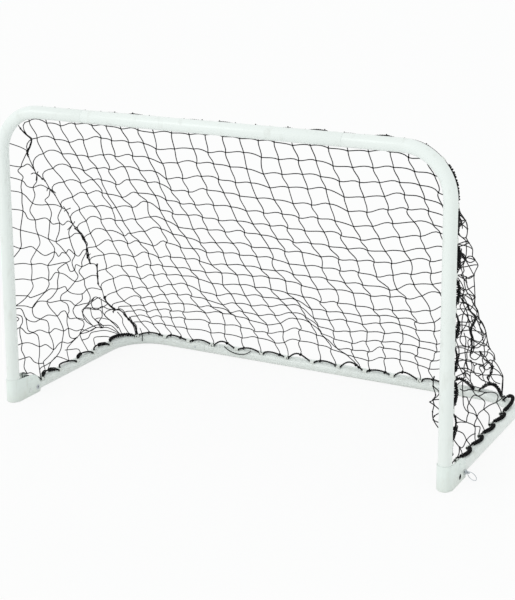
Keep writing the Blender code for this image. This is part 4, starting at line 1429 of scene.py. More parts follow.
# Knots of the net in millimetres. A seam gives Y and Z from the top down, a column of the rear panel X and Z, a
# twine of a side panel Y and Z; there a Z of 0 means a mark on the ground frame's rope, and a Y of -999 a mark on
# the arch's rope.
LEFT_SEAM = ((-405, 1170), (-333, 1030), (-286, 931), (-204, 845), (-123, 756), (-59, 673), (-14, 619), (18, 568),
             (40, 490), (98, 401), (115, 345), (159, 264), (214, 218), (276, 190), (324, 138), (370, 95), (400, 55))
RIGHT_SEAM = ((-405, 1170), (-311, 994), (-189, 888), (-140, 830), (-75, 740), (-77, 660), (-75, 589), (-50, 530),
              (0, 475), (65, 424), (123, 334), (220, 231), (300, 155), (358, 114), (400, 55))
REAR_KNOTS = (
    ((-831, 1167), (-825, 1094), (-824, 1025), (-805, 960), (-788, 897), (-798, 820), (-807, 754), (-808, 695),
     (-828, 626), (-831, 559), (-800, 522), (-819, 448), (-805, 398), (-810, 331), (-795, 281), (-777, 253),
     (-787, 218), (-817, 171), (-821, 131)),
    ((-752, 1164), (-745, 1093), (-737, 1030), (-720, 971), (-711, 899), (-712, 845), (-708, 780), (-718, 716),
     (-724, 656), (-724, 601), (-718, 531), (-731, 472), (-721, 419), (-727, 352), (-711, 304), (-718, 258),
     (-729, 217), (-755, 168), (-763, 127)),
    ((-693, 1156), (-683, 1085), (-672, 1028), (-668, 961), (-641, 920), (-633, 859), (-625, 784), (-643, 722),
     (-640, 643), (-643, 603), (-646, 533), (-654, 477), (-669, 412), (-660, 362), (-657, 314), (-659, 280),
     (-668, 236), (-692, 183), (-702, 130)),
    ((-622, 1169), (-611, 1101), (-621, 1026), (-601, 976), (-603, 923), (-609, 856), (-601, 792), (-601, 725),
     (-596, 663), (-572, 622), (-556, 565), (-578, 499), (-589, 443), (-596, 378), (-588, 334), (-595, 281),
     (-609, 237), (-640, 185), (-656, 125)),
    ((-545, 1169), (-524, 1117), (-544, 1041), (-546, 977), (-544, 908), (-545, 847), (-518, 802), (-531, 742),
     (-515, 684), (-510, 611), (-513, 551), (-516, 505), (-521, 456), (-523, 400), (-524, 343), (-521, 291),
     (-551, 238), (-570, 190), (-598, 122)),
    ((-480, 1172), (-479, 1110), (-492, 1040), (-466, 996), (-468, 937), (-457, 878), (-428, 839), (-447, 765),
     (-423, 710), (-429, 641), (-448, 563), (-445, 506), (-442, 463), (-442, 413), (-455, 348), (-451, 285),
     (-434, 252), (-448, 188), (-479, 119)),
    ((-414, 1165), (-402, 1109), (-407, 1050), (-401, 987), (-389, 934), (-376, 876), (-383, 807), (-380, 757),
     (-377, 691), (-370, 624), (-375, 564), (-379, 505), (-363, 459), (-390, 385), (-382, 338), (-378, 298),
     (-342, 266), (-369, 191), (-405, 127)),
    ((-337, 1167), (-333, 1111), (-335, 1048), (-327, 988), (-330, 936), (-332, 860), (-329, 797), (-333, 732),
     (-317, 682), (-308, 626), (-308, 564), (-308, 503), (-305, 444), (-317, 375), (-312, 322), (-302, 282),
     (-283, 262), (-289, 192), (-321, 119)),
    ((-270, 1161), (-284, 1092), (-279, 1030), (-288, 961), (-288, 911), (-272, 851), (-258, 797), (-262, 729),
     (-259, 665), (-251, 616), (-255, 551), (-227, 513), (-252, 445), (-236, 398), (-238, 344), (-227, 297),
     (-220, 251), (-229, 182), (-232, 138)),
    ((-188, 1168), (-199, 1100), (-208, 1039), (-212, 971), (-209, 911), (-203, 853), (-192, 796), (-194, 736),
     (-181, 674), (-168, 626), (-179, 563), (-154, 515), (-164, 460), (-166, 399), (-166, 343), (-158, 289),
     (-139, 237), (-163, 183), (-156, 123)),
    ((-112, 1168), (-113, 1108), (-121, 1048), (-121, 990), (-119, 931), (-116, 861), (-122, 791), (-114, 737),
     (-100, 683), (-94, 627), (-94, 571), (-80, 519), (-95, 458), (-82, 408), (-77, 356), (-69, 306),
     (-64, 261), (-74, 208), (-102, 137)),
    ((-42, 1173), (-54, 1099), (-46, 1052), (-48, 985), (-46, 926), (-38, 864), (-36, 799), (-23, 747),
     (-19, 678), (-14, 629), (-21, 567), (-2, 524), (-20, 460), (0, 409), (14, 379), (27, 339), (34, 306),
     (19, 239), (-17, 165)),
    ((32, 1173), (24, 1107), (23, 1046), (23, 979), (20, 920), (26, 853), (33, 794), (49, 745), (63, 682),
     (58, 630), (47, 568), (71, 520), (52, 451), (78, 420), (83, 383), (82, 327), (91, 288), (89, 223),
     (68, 158)),
    ((103, 1171), (102, 1114), (94, 1045), (91, 985), (94, 918), (100, 853), (107, 795), (116, 735),
     (129, 677), (123, 615), (121, 562), (138, 508), (121, 444), (130, 380), (120, 328), (121, 283),
     (118, 241), (124, 213), (123, 145)),
    ((179, 1170), (172, 1101), (159, 1030), (167, 972), (169, 920), (181, 859), (182, 796), (183, 730),
     (205, 684), (196, 616), (196, 561), (205, 498), (190, 429), (199, 379), (192, 328), (186, 266),
     (167, 216), (159, 153), (188, 122)),
    ((244, 1170), (242, 1099), (237, 1037), (248, 983), (245, 913), (249, 850), (255, 792), (262, 734),
     (283, 674), (268, 618), (269, 560), (290, 510), (271, 439), (275, 385), (274, 341), (265, 277),
     (245, 205), (228, 162), (218, 117)),
    ((316, 1163), (324, 1103), (324, 1046), (327, 985), (322, 916), (331, 858), (337, 798), (336, 731),
     (359, 673), (344, 615), (345, 555), (363, 507), (349, 437), (351, 383), (342, 335), (349, 294),
     (320, 233), (305, 167), (281, 106)),
    ((389, 1170), (396, 1110), (396, 1045), (404, 994), (400, 930), (400, 856), (405, 791), (413, 730),
     (436, 677), (424, 620), (421, 558), (438, 505), (425, 432), (438, 400), (427, 357), (427, 301),
     (394, 246), (389, 209), (370, 142)),
    ((459, 1166), (459, 1095), (468, 1033), (469, 968), (467, 906), (470, 840), (481, 781), (496, 735),
     (508, 683), (497, 611), (535, 554), (525, 517), (511, 444), (521, 404), (518, 368), (514, 318),
     (483, 254), (463, 205), (440, 149)),
    ((534, 1162), (536, 1097), (549, 1038), (550, 976), (543, 911), (548, 850), (560, 795), (568, 740),
     (580, 687), (572, 631), (570, 564), (598, 525), (596, 455), (599, 402), (585, 356), (579, 294),
     (560, 252), (528, 194), (516, 136)),
    ((615, 1168), (618, 1104), (630, 1047), (636, 991), (631, 932), (631, 872), (641, 811), (643, 748),
     (659, 711), (650, 648), (654, 604), (678, 556), (692, 485), (684, 420), (669, 369), (656, 295),
     (637, 246), (596, 181), (560, 122)),
    ((695, 1173), (700, 1116), (711, 1058), (719, 1009), (710, 944), (715, 888), (721, 824), (724, 768),
     (734, 715), (734, 666), (735, 620), (764, 590), (785, 537), (787, 476), (760, 411), (749, 352),
     (719, 288), (692, 221), (658, 143)),
    ((768, 1162), (780, 1109), (789, 1056), (796, 1003), (791, 948), (784, 882), (799, 847), (796, 779),
     (802, 727), (809, 682), (816, 636), (840, 605), (857, 566), (866, 513), (842, 439), (829, 373),
     (802, 308), (769, 234), (743, 164)),
    ((836, 1156), (853, 1103), (855, 1036), (857, 986), (850, 923), (839, 861), (840, 807), (837, 747),
     (851, 706), (863, 662), (871, 621), (895, 586), (908, 536), (904, 479), (885, 405), (882, 350),
     (859, 284), (831, 223), (818, 163)),
)
BAR_KNOTS = (
    -838, -784, -724, -671, -607, -497, -425, -343, -252, -162,
    -118, -57, 35, 114, 208, 222, 269, 340, 420, 501, 555, 660, 734, 786,
)
RIGHT_ENDS = (
    (-395, 1130), (-372, 1075), (-345, 1020), (-169, 906), (-147, 870), (-128, 814), (-91, 783), (-63, 735),
     (-30, 708), (-72, 679), (-70, 639), (-74, 599), (-43, 537), (-30, 503), (64, 420), (81, 384), (114, 342),
     (167, 277), (285, 177),
)
LEFT_TWINES = (
    ((-999, 1072), (-362, 1050), (-319, 1027)),
    ((-999, 983), (-354, 967), (-315, 972), (-276, 940)),
    ((-999, 935), (-347, 909), (-318, 881), (-282, 868), (-236, 870), (-182, 841)),
    ((-999, 878), (-346, 857), (-284, 803), (-239, 786), (-191, 778), (-143, 767), (-106, 748)),
    ((-999, 802), (-339, 781), (-309, 743), (-267, 728), (-207, 724), (-177, 704), (-158, 687), (-118, 683),
     (-96, 670), (-66, 681), (-35, 661)),
    ((-999, 733), (-353, 704), (-248, 662), (-183, 628), (-137, 607), (-100, 609), (-53, 606), (-20, 616),
     (12, 609)),
    ((-999, 657), (-353, 626), (-290, 620), (-256, 597), (-204, 561), (-145, 563), (-119, 537), (-98, 549),
     (-73, 541), (-54, 553), (-15, 521), (11, 509), (38, 529), (64, 523)),
    ((-999, 568), (-338, 559), (-286, 542), (-228, 532), (-184, 513), (-128, 506), (-71, 497), (-44, 454),
     (-16, 452), (-7, 474), (32, 456), (84, 460)),
    ((-999, 504), (-339, 493), (-286, 475), (-221, 469), (-180, 448), (-165, 449), (-140, 469), (-114, 463),
     (-76, 446), (-10, 399), (48, 395), (100, 399), (140, 386)),
    ((-999, 439), (-312, 413), (-290, 400), (-202, 401), (-170, 406), (-123, 394), (-75, 392), (-58, 370),
     (-22, 347), (38, 330), (70, 342), (109, 339), (170, 314)),
    ((-999, 395), (-328, 374), (-281, 354), (-247, 371), (-189, 356), (-170, 346), (-99, 336), (-41, 318),
     (-4, 288), (46, 282), (86, 278), (125, 293), (166, 271), (208, 243)),
    ((-999, 379), (-353, 368), (-323, 318), (-273, 289), (-232, 290), (-183, 294), (-125, 274), (-99, 284),
     (-73, 282), (-56, 259), (-39, 238), (7, 228), (55, 208)),
    ((53, 259), (97, 245), (141, 230), (175, 236), (216, 213), (258, 199)),
    ((-999, 278), (-362, 290), (-319, 252), (-281, 245), (-236, 243), (-177, 213), (-138, 221), (-82, 194),
     (-49, 196), (2, 170), (42, 165), (97, 142), (138, 147)),
    ((-999, 218), (-352, 218), (-301, 205), (-241, 171), (-198, 167), (-149, 130), (-119, 143), (-92, 147),
     (-45, 128), (9, 138)),
    ((-999, 157), (-336, 150), (-304, 144), (-279, 116), (-248, 98), (-217, 90)),
    ((-319, 1027), (-349, 982), (-354, 967), (-371, 953), (-342, 925), (-347, 909), (-352, 883), (-346, 857),
     (-345, 815), (-339, 781), (-353, 704), (-350, 661), (-353, 626), (-999, 580)),
    ((-276, 940), (-261, 912), (-263, 888), (-282, 868), (-270, 834), (-284, 803), (-298, 772), (-267, 728),
     (-260, 688), (-248, 662), (-235, 622), (-256, 597), (-289, 562), (-286, 542), (-283, 509), (-286, 475),
     (-277, 442), (-312, 413), (-359, 395), (-999, 387)),
    ((-182, 841), (-187, 814), (-210, 801), (-191, 778), (-169, 737), (-177, 704), (-181, 658), (-183, 628),
     (-149, 585), (-145, 563), (-154, 538), (-184, 513), (-178, 483), (-180, 448), (-177, 425), (-202, 401),
     (-246, 378), (-281, 354), (-273, 315), (-232, 290), (-190, 270), (-177, 239), (-177, 213), (-155, 170),
     (-149, 130), (-179, 110), (-213, 98), (-217, 90), (211, 0)),
    ((-106, 748), (-129, 712), (-118, 683), (-120, 644), (-137, 607), (-111, 581), (-73, 541), (-43, 503),
     (-71, 497), (-121, 482), (-114, 463), (-123, 429), (-123, 394), (-158, 367), (-189, 356), (-170, 322),
     (-125, 274), (-99, 235), (-82, 194), (-92, 147), (-102, 114), (-133, 91), (-167, 79), (227, 0)),
    ((-35, 661), (-58, 635), (-53, 606), (-36, 564), (-15, 521), (-33, 492), (-16, 452), (8, 419), (-10, 399),
     (-58, 370), (-96, 360), (-99, 336), (-60, 310), (-46, 275), (-56, 259), (-59, 228), (-49, 196),
     (-42, 159), (-18, 141), (9, 138)),
    ((64, 523), (31, 481), (32, 456), (14, 436), (48, 395), (56, 361), (91, 306), (86, 278), (53, 259),
     (40, 251), (61, 218), (110, 167), (138, 147)),
    ((38, 330), (38, 302), (-4, 288), (-20, 267), (7, 228), (48, 203), (55, 182), (42, 165), (29, 148),
     (43, 116), (512, 0)),
    ((166, 271), (175, 236), (183, 203), (226, 160), (262, 129), (291, 101)),
    ((97, 245), (108, 209), (129, 187), (165, 151), (186, 131)),
    ((-999, 359), (-354, 338), (-346, 309), (-362, 290), (-363, 258), (-352, 218), (-357, 191), (-336, 150),
     (-344, 113), (-326, 79)),
    ((-323, 318), (-312, 265), (-281, 245), (-249, 220), (-241, 171), (-242, 134), (-248, 98), (154, 0)),
    ((-999, 355), (-367, 329), (-999, 318)),
    ((154, 0), (-241, 71), (-194, 76), (-160, 81), (-126, 91), (371, 0)),
    ((371, 0), (-59, 100), (-38, 119), (9, 138), (56, 156), (144, 157), (193, 141), (248, 123), (762, 0)),
    ((29, 148), (83, 142), (138, 147), (179, 133), (186, 141), (143, 176), (129, 187), (163, 185), (226, 160)),
    ((43, 116), (84, 113), (104, 131), (138, 128), (208, 113), (762, 0)),
    ((573, 0), (125, 101), (174, 94), (216, 82), (704, 0)),
    ((-72, 104), (-38, 96), (16, 82), (467, 0)),
    ((162, 280), (134, 283), (85, 269), (52, 255), (47, 229), (76, 190), (134, 150)),
    ((117, 288), (101, 272), (119, 240), (165, 220), (178, 189), (156, 167), (169, 140), (227, 120), (765, 0)),
    ((261, 202), (211, 204), (195, 188), (237, 153), (286, 115), (771, 0)),
    ((282, 181), (319, 140), (326, 111), (806, 0)),
    ((210, 236), (165, 231), (100, 249), (63, 262)),
    ((51, 0), (-359, 89), (-326, 79), (-294, 70), (154, 0)),
    ((48, 0), (-347, 68), (-314, 66), (134, 0)),
)
RIGHT_TWINES = (
    ((-999, 266), (-295, 209), (-230, 177), (-140, 129), (-131, 96), (-122, 64), (-67, 16)),
    ((-999, 242), (-297, 202), (-230, 177), (-219, 192), (-206, 205), (-232, 223), (-259, 252), (-266, 285),
     (-275, 325), (-276, 360)),
    ((-999, 214), (-280, 153), (-233, 110), (-187, 73), (272, 0)),
    ((-999, 181), (-358, 134), (-302, 112), (-233, 110), (-172, 104), (-131, 96)),
    ((-358, 134), (-327, 100), (186, 0)),
    ((-358, 134), (-378, 112), (-999, 93)),
    ((-206, 205), (-153, 181), (-124, 159), (-73, 110), (442, 0)),
    ((-266, 285), (-228, 270), (-206, 242), (-157, 202), (-124, 159), (-134, 147), (-140, 129), (-89, 107),
     (416, 0)),
    ((-206, 205), (-218, 230), (-206, 242), (-184, 257), (-151, 254), (-83, 214), (-61, 193), (-67, 171),
     (-13, 129), (531, 0)),
    ((-124, 159), (-110, 170), (-67, 171), (-3, 165), (123, 130), (314, 84), (854, 0)),
    ((123, 130), (215, 59), (595, 0)),
    ((123, 130), (187, 130), (90, 180), (-53, 231), (-115, 240), (-151, 254), (-200, 297), (1050, 0)),
    ((854, 0), (342, 37), (688, 0)),
    ((-299, 326), (-259, 305), (-207, 294), (-136, 265), (-53, 231)),
    ((1024, 0), (-99, 264), (947, 0)),
    ((-999, 1024), (-225, 949), (-169, 906), (-147, 870), (-161, 842), (-222, 860), (-999, 927)),
    ((-215, 914), (-169, 906), (-242, 897)),
    ((-161, 842), (-128, 814), (-91, 783), (-89, 756), (-63, 735), (-30, 708), (-50, 694), (-72, 679),
     (-70, 639), (-74, 599)),
    ((-999, 883), (-214, 836), (-161, 827), (-128, 814)),
    ((-999, 874), (-187, 821), (-128, 814)),
    ((-161, 827), (-158, 792), (-181, 765)),
    ((-181, 765), (-141, 767), (-95, 756), (-63, 735), (-118, 739), (-181, 765)),
    ((-999, 874), (-253, 809), (-181, 765), (-121, 720), (-72, 679)),
    ((-999, 774), (-321, 750), (-214, 713), (-151, 689), (-72, 679)),
    ((-181, 765), (-298, 775), (-999, 778)),
    ((-181, 765), (-249, 762), (-242, 742), (-321, 750)),
    ((-999, 806), (-288, 783), (-181, 765)),
    ((-214, 713), (-220, 696), (-204, 670), (-106, 619), (-74, 599)),
    ((-999, 770), (-318, 717), (-296, 686), (-327, 677)),
    ((-999, 745), (-348, 712), (-296, 686)),
    ((-321, 750), (-270, 722), (-220, 696)),
    ((-74, 599), (-91, 574), (-43, 537), (-30, 503), (38, 451), (64, 420), (81, 384), (114, 342), (169, 304),
     (182, 276)),
    ((-999, 697), (-327, 677), (-225, 655), (-74, 599)),
    ((-999, 653), (-306, 625), (-224, 597), (-108, 587), (-74, 599)),
    ((-999, 608), (-313, 579), (-237, 557), (-110, 532)),
    ((-999, 572), (-318, 547), (-240, 528), (-58, 463), (63, 413)),
    ((-304, 656), (-347, 647), (-317, 617), (-261, 579), (-284, 560), (-318, 547), (-999, 552)),
    ((-250, 623), (-306, 614), (-323, 589), (-318, 547), (-328, 517), (-291, 484), (-237, 468), (-218, 492),
     (-240, 528)),
    ((-110, 532), (11, 479), (64, 420), (-20, 409), (-157, 436), (-217, 466), (-229, 492), (-166, 465),
     (27, 390), (114, 342)),
    ((-999, 520), (-291, 484), (-217, 454)),
    ((-299, 535), (-277, 499), (-280, 466), (-264, 424), (-240, 383)),
    ((-999, 492), (-294, 459), (-234, 445), (-115, 407), (73, 343), (155, 301), (167, 277)),
    ((-217, 454), (-232, 429), (-182, 399), (-119, 394), (-115, 407)),
    ((-999, 467), (-264, 424), (-220, 407), (-189, 378), (-186, 354), (-145, 326), (-72, 317), (-65, 337),
     (-149, 373), (-189, 378)),
    ((46, 318), (-82, 343), (-34, 312), (124, 267)),
    ((167, 277), (221, 239), (285, 177)),
    ((124, 267), (234, 210), (286, 164), (274, 148)),
    ((-999, 439), (-291, 402), (-240, 383), (-186, 354)),
    ((-999, 407), (-287, 378), (-254, 372), (-218, 349)),
    ((-319, 466), (-330, 436), (-299, 397), (-267, 357), (-999, 379)),
    ((-264, 424), (-275, 397), (-252, 360), (1062, 0)),
    ((-220, 407), (-206, 376), (-218, 349), (1018, 0)),
    ((-145, 326), (-101, 296), (21, 242)),
    ((124, 267), (55, 268), (133, 209), (245, 158)),
    ((-261, 579), (-212, 535), (-240, 528)),
    ((-999, 544), (-329, 481), (-999, 467)),
    ((-217, 454), (-138, 445), (25, 421), (-40, 476), (-110, 532)),
)
INNER_TWINES = (
    ((877, 392), (874, 358), (884, 327), (875, 307), (879, 289), (874, 262), (878, 233), (901, 203), (930, 183)),
    ((874, 358), (898, 337), (875, 307), (864, 297), (879, 289), (902, 269), (881, 248), (878, 233),
     (903, 226), (932, 220)),
    ((875, 307), (901, 313), (930, 313)),
    ((925, 367), (898, 337), (930, 335)),
    ((931, 283), (902, 269), (931, 265)),
)
LEFT_CHAIN = (
    (-362, 1125), (-336, 1103), (-302, 1073), (-306, 1049), (-319, 1027), (-312, 1001), (-276, 940),
     (-261, 919), (-213, 883), (-182, 841), (-151, 811), (-106, 748), (-81, 732), (-35, 661), (-15, 635),
     (12, 609), (38, 583), (53, 553), (64, 523), (67, 495), (84, 460), (123, 441), (140, 386), (143, 349),
     (170, 314), (186, 277), (208, 243), (258, 199), (307, 179), (367, 121), (408, 78),
)
RIGHT_CHAINS = (
    ((-279, 992), (-247, 950), (-215, 914), (-255, 906), (-323, 901)),
    ((-375, 859), (-328, 826), (-370, 802), (-401, 782)),
    ((-348, 859), (-253, 809), (-181, 765)),
    ((-327, 677), (-304, 656), (-250, 623), (-224, 597), (-110, 532), (-192, 540), (-240, 528), (-218, 485),
     (-217, 454), (-233, 437)),
    ((-115, 407), (-48, 362), (46, 318), (124, 267), (83, 259), (-10, 272), (21, 242)),
)
LEFT_ROWS = (2, 4, 6, 8, 10, 11, 13, 15, 17, 18, 20, 22, 24, 26, 27, 28, 29, 30, 30)
LEFT_BUNCHES = ((0, 6), (14, 21), (21, 24), (25, 28), (27, 31))
LEFT_TAILS = (7, 9, 12, 13, 19, 27)
INNER_Y = -0.395
CAUGHT_TWINE = ((-0.437, 0.419, 0.049), (-0.405, 0.414, 0.034), (-0.365, 0.414, 0.026), (-0.325, 0.414, 0.033),
                (-0.300, 0.419, 0.049))
LOOSE_END = ((-0.871, 0.400, 0.076), (-0.852, 0.389, 0.052), (-0.851, 0.386, 0.020))


def smooth(points: Sequence[Vector], steps: int = 4) -> list[Vector]:
    """A smooth line through points.

    Args:
        points: The points.
        steps: Steps between two of them.

    Returns:
        The points of the line.
    """
    ends = [points[0] * 2 - points[1], *points, points[-1] * 2 - points[-2]]
    line = []
    for p, q, r, s in zip(ends, ends[1:], ends[2:], ends[3:]):
        for step in range(steps):
            t = step / steps
            line.append((q * 2 + (r - p) * t + (p * 2 - q * 5 + r * 4 - s) * t * t
                         + (q * 3 - p - r * 3 + s) * t ** 3) / 2)
    return line + [points[-1]]


NET_TOP = (-0.411, 1.226)
NET_DROP = 1.176
NET_SAG = (0.50, 0.225)
NET_NORMAL = Vector((0.0, 0.8, 0.6))
SEAM_X = 0.9
SEAM_PULL = 0.234


def hung(x: float, z: float) -> Vector:
    """The place of the hanging rear panel over an X and Z: it sags, and both seams pull it.

    Args:
        x: The X.
        z: The Z.

    Returns:
        The place.
    """
    drop = min(max((NET_TOP[1] - z) / NET_DROP, 0.0), 1.0)
    y = middle = NET_TOP[0] + NET_DROP * (NET_SAG[0] * drop + NET_SAG[1] * drop ** 2)
    for seam, near in ((LEFT_SEAM, x + SEAM_X), (RIGHT_SEAM, SEAM_X - x)):
        for (y_high, high), (y_low, low) in zip(seam, seam[1:]):
            if low <= 1000 * z <= high:
                pulled = (y_low + (y_high - y_low) * (1000 * z - low) / (high - low)) / 1000
                y += (pulled - middle) * math.exp(-(max(near, 0.0) / SEAM_PULL) ** 2)
                break
    return Vector((x, y, z))


@dataclass
class GoalNet:
    """The knotted net: a rear panel, two side panels and the bunched seams between them.

    Attributes:
        arch_rope: The rope that the net's upper border is tied to.
        base_rope: The rope that its lower border is tied to.
        twine_r: Radius of the twine.
        knot_r: Radius of a knot.
        knot_tip: How far a knot tips, in radians.
        turn: How far a knot turns its twines, in radians.
        arch: How far the level twines bow upwards.
        edge_bow: How much more they bow beside the left seam.
        edge_fade: Over how many meshes that fades.
        edge_turn: How far a row's first twine turns as it leaves the seam, in radians.
        fold_reach: Not used.
        seed: Seed of the net's slack.
        mouth_x: From the middle to a side panel at the goal's mouth.
        drawn_in: How far its far corner is drawn in.
        pleat: Depth of the right panel's pleats.
        ground_mm: Least height of a side panel's knot, in millimetres.
        tie: Length of the twine wound round a rope at a knot.
        bunch_gap: From a clip's middle to the twine bunched beside it.
        bunch_pitches: Steps of a turn of the two twines of a bunch.
        spread: How far the twines of a seam's bunch spread.
        wraps: Lines of twine wound round the arch's rope, and round the ground frame's.
    """

    arch_rope: BorderRope
    base_rope: BorderRope
    twine_r: float = 0.00195
    knot_r: float = 0.0036
    knot_tip: float = 0.4
    turn: float = 0.30
    arch: float = 0.20
    edge_bow: float = 0.45
    edge_fade: float = 1.6
    edge_turn: float = -0.75
    fold_reach: float = 0.45
    seed: int = 11
    mouth_x: float = 0.957
    drawn_in: float = 0.052
    pleat: float = 0.012
    ground_mm: int = 9
    tie: float = 0.008
    bunch_gap: float = 0.019
    bunch_pitches: tuple[float, float] = (0.0085, 0.0123)
    spread: float = 0.0035
    wraps: tuple[list[list[Vector]], list[list[Vector]]] = field(default_factory=lambda: ([], []))

    def on_rope(self, rope: BorderRope, side: Side, mark: float) -> Vector:
        """Where a twine is tied to a rope, at a mark counted from the side's own end."""
        mark = mark if side is Side.LEFT else rope.line.length - mark
        return rope.path(mark) + rope.line.outward(mark) * ROPE_R

    def place(self, side: Side, y: int, z: int) -> Vector:
        """A place of a side panel.

        Args:
            side: Which panel.
            y: Its Y in millimetres, or -999 for a mark on the arch's rope.
            z: Its Z in millimetres, or 0 for a mark on the ground frame's rope.

        Returns:
            The place.
        """
        if z == 0:
            return self.on_rope(self.base_rope, side, y / 1000)
        if y == -999:
            return self.on_rope(self.arch_rope, side, z / 1000)
        reach = min(max((y + 410) / 850 + (z - 50) / 1150, 0.0), 1.05)
        pleat = self.pleat * math.sin(0.014 * y + 0.009 * z) if side is Side.RIGHT else 0.0
        x = side.value * (self.mouth_x - self.drawn_in * reach ** 2 + pleat)
        return Vector((x, y / 1000, max(z, self.ground_mm) / 1000))

    @staticmethod
    def strand(first: Vector, last: Vector, leave: Vector, reach: Vector, bow: float = 0.0) -> list[Vector]:
        """One side of a mesh.

        Args:
            first: The knot that it leaves.
            last: The knot that it reaches.
            leave: Its direction at the first.
            reach: Its direction at the last.
            bow: How far it bows upwards.

        Returns:
            Its points.
        """
        size = (last - first).length
        start = leave.normalized() * size + UP * size * bow
        end = reach.normalized() * size - UP * size * bow
        points = []
        for index in range(6):
            t = index / 5
            points.append(first * (2 * t ** 3 - 3 * t ** 2 + 1) + start * (t ** 3 - 2 * t ** 2 + t)
                          + last * (3 * t ** 2 - 2 * t ** 3) + end * (t ** 3 - t ** 2))
        return points

    def panel(self, name: str, strands: Sequence[Sequence[Vector]], knots: Sequence[Vector],
              nodes: Sequence[str]) -> None:
        """Make one panel's mesh from its strands and knots, and put it in place of its CAD nodes.

        Args:
            name: The piece's name.
            strands: Lines of twine.
            knots: Centres of the knots.
            nodes: CAD nodes that it stands for.
        """
        shape = bmesh.new()
        shape.from_mesh(swept(name, strands, self.twine_r))
        ball = bmesh.new()
        bmesh.ops.create_icosphere(ball, subdivisions=1, radius=self.knot_r)
        bmesh.ops.scale(ball, vec=(1.15, 0.85, 0.95), verts=ball.verts)
        knot = to_mesh(ball, "knot")
        draw = random.Random(self.seed + len(knots))
        for point in knots:
            turn = Matrix.Rotation(draw.uniform(0, math.pi), 4, "Y")
            tip = Matrix.Rotation(draw.uniform(-self.knot_tip, self.knot_tip), 4, "X")
            copied(shape, knot, Matrix.Translation(point) @ (turn @ tip))
        item = new_object(name, to_mesh(shape, name, False))
        dressed(item, TWINE_FIBRE, 60.0)
        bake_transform(item)
        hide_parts(*nodes)
        report(item, nodes)

    def rear_grid(self) -> list[list[Vector]]:
        """The rear panel's knots: columns from the left seam to the right one, rows downwards."""
        columns = [[self.place(Side.LEFT, *LEFT_CHAIN[k]) for k in LEFT_ROWS]]
        for knots, foot in zip(REAR_KNOTS, BAR_KNOTS):
            places = [hung(x / 1000, z / 1000) for x, z in knots]
            top = self.arch_rope.path(ARCH.mark_of(places[0].x * 1.5 - places[1].x * 0.5)) + BACK * ROPE_R
            low = self.base_rope.path(BASE.mark_of(foot / 1000)) + UP * ROPE_R
            columns.append([top, *places, low])
        columns.append([self.place(Side.RIGHT, *pair) for pair in RIGHT_ENDS])
        return columns

    @staticmethod
    def ways(knots: Sequence[Vector], turns: Sequence[float]) -> list[Vector]:
        """Directions of a twine at its knots, each turned by its knot's angle in radians."""
        ahead, behind = [*knots[1:], knots[-1]], [knots[0], *knots[:-1]]
        return [Matrix.Rotation(turn, 3, NET_NORMAL) @ (far - near)
                for turn, far, near in zip(turns, ahead, behind)]

    def rear(self) -> None:
        """Knot the rear panel and tie it to both ropes."""
        draw = random.Random(self.seed)
        columns = self.rear_grid()
        inner = columns[1:-1]
        rows = len(REAR_KNOTS[0])
        turns = [[self.turn * draw.gauss(1.0, 0.8) for _ in column] for column in inner]
        strands, knots = [], [point for column in inner for point in column]
        for column, turn in zip(inner, turns):
            ways = self.ways(column, turn)
            strands += [self.strand(*column[i:i + 2], *ways[i:i + 2]) for i in range(rows + 1)]
        for i in range(rows):
            row = [columns[0][i], *(column[i + 1] for column in inner), columns[-1][i]]
            turn = [turn[i + 1] for turn in turns]
            ways = self.ways(row, [turn[0], *turn, turn[-1]])
            chord = row[1] - row[0]
            strands.append(self.strand(*row[:2], Matrix.Rotation(self.edge_turn, 3, NET_NORMAL) @ chord,
                                       (row[2] - row[1]).normalized() + chord.normalized() * 0.3))
            for j in range(1, len(row) - 1):
                bow = self.arch + self.edge_bow * math.exp(-j / self.edge_fade)
                strands.append(self.strand(*row[j:j + 2], *ways[j:j + 2], bow))
        for foot in BAR_KNOTS:
            self.coil(self.base_rope, BASE.mark_of(foot / 1000) - self.tie / 2, self.tie, self.tie)
        for column in inner:
            self.coil(self.arch_rope, ARCH.mark_of(column[0].x) - self.tie / 2, self.tie, self.tie)
        strands.append(smooth([Vector(place) for place in CAUGHT_TWINE]))
        self.panel("rear_net_panel", strands, knots, ["net_rear"])

    def coil(self, rope: BorderRope, first: float, length: float, pitch: float, swell: float = 0.0) -> None:
        """Wind twine round a rope.

        Args:
            rope: The rope.
            first: Mark where it starts.
            length: How far it goes along the rope.
            pitch: Step of a turn.
            swell: How much its turns spread.
        """
        line, steps = [], 9
        for index in range(int(length / pitch * steps) + 1):
            mark, turn = first + pitch * index / steps, 2 * math.pi * index / steps
            way = (rope.path(mark + 0.002) - rope.path(mark - 0.002)).normalized()
            out = rope.line.outward(mark)
            spread = swell * (0.5 + 0.5 * math.sin(mark * 97) * math.sin(mark * 41))
            radius = ROPE_R + self.twine_r * 0.9 + spread
            line.append(rope.path(mark) + (out * math.cos(turn) + way.cross(out) * math.sin(turn)) * radius)
        self.wraps[rope is self.base_rope].append(line)

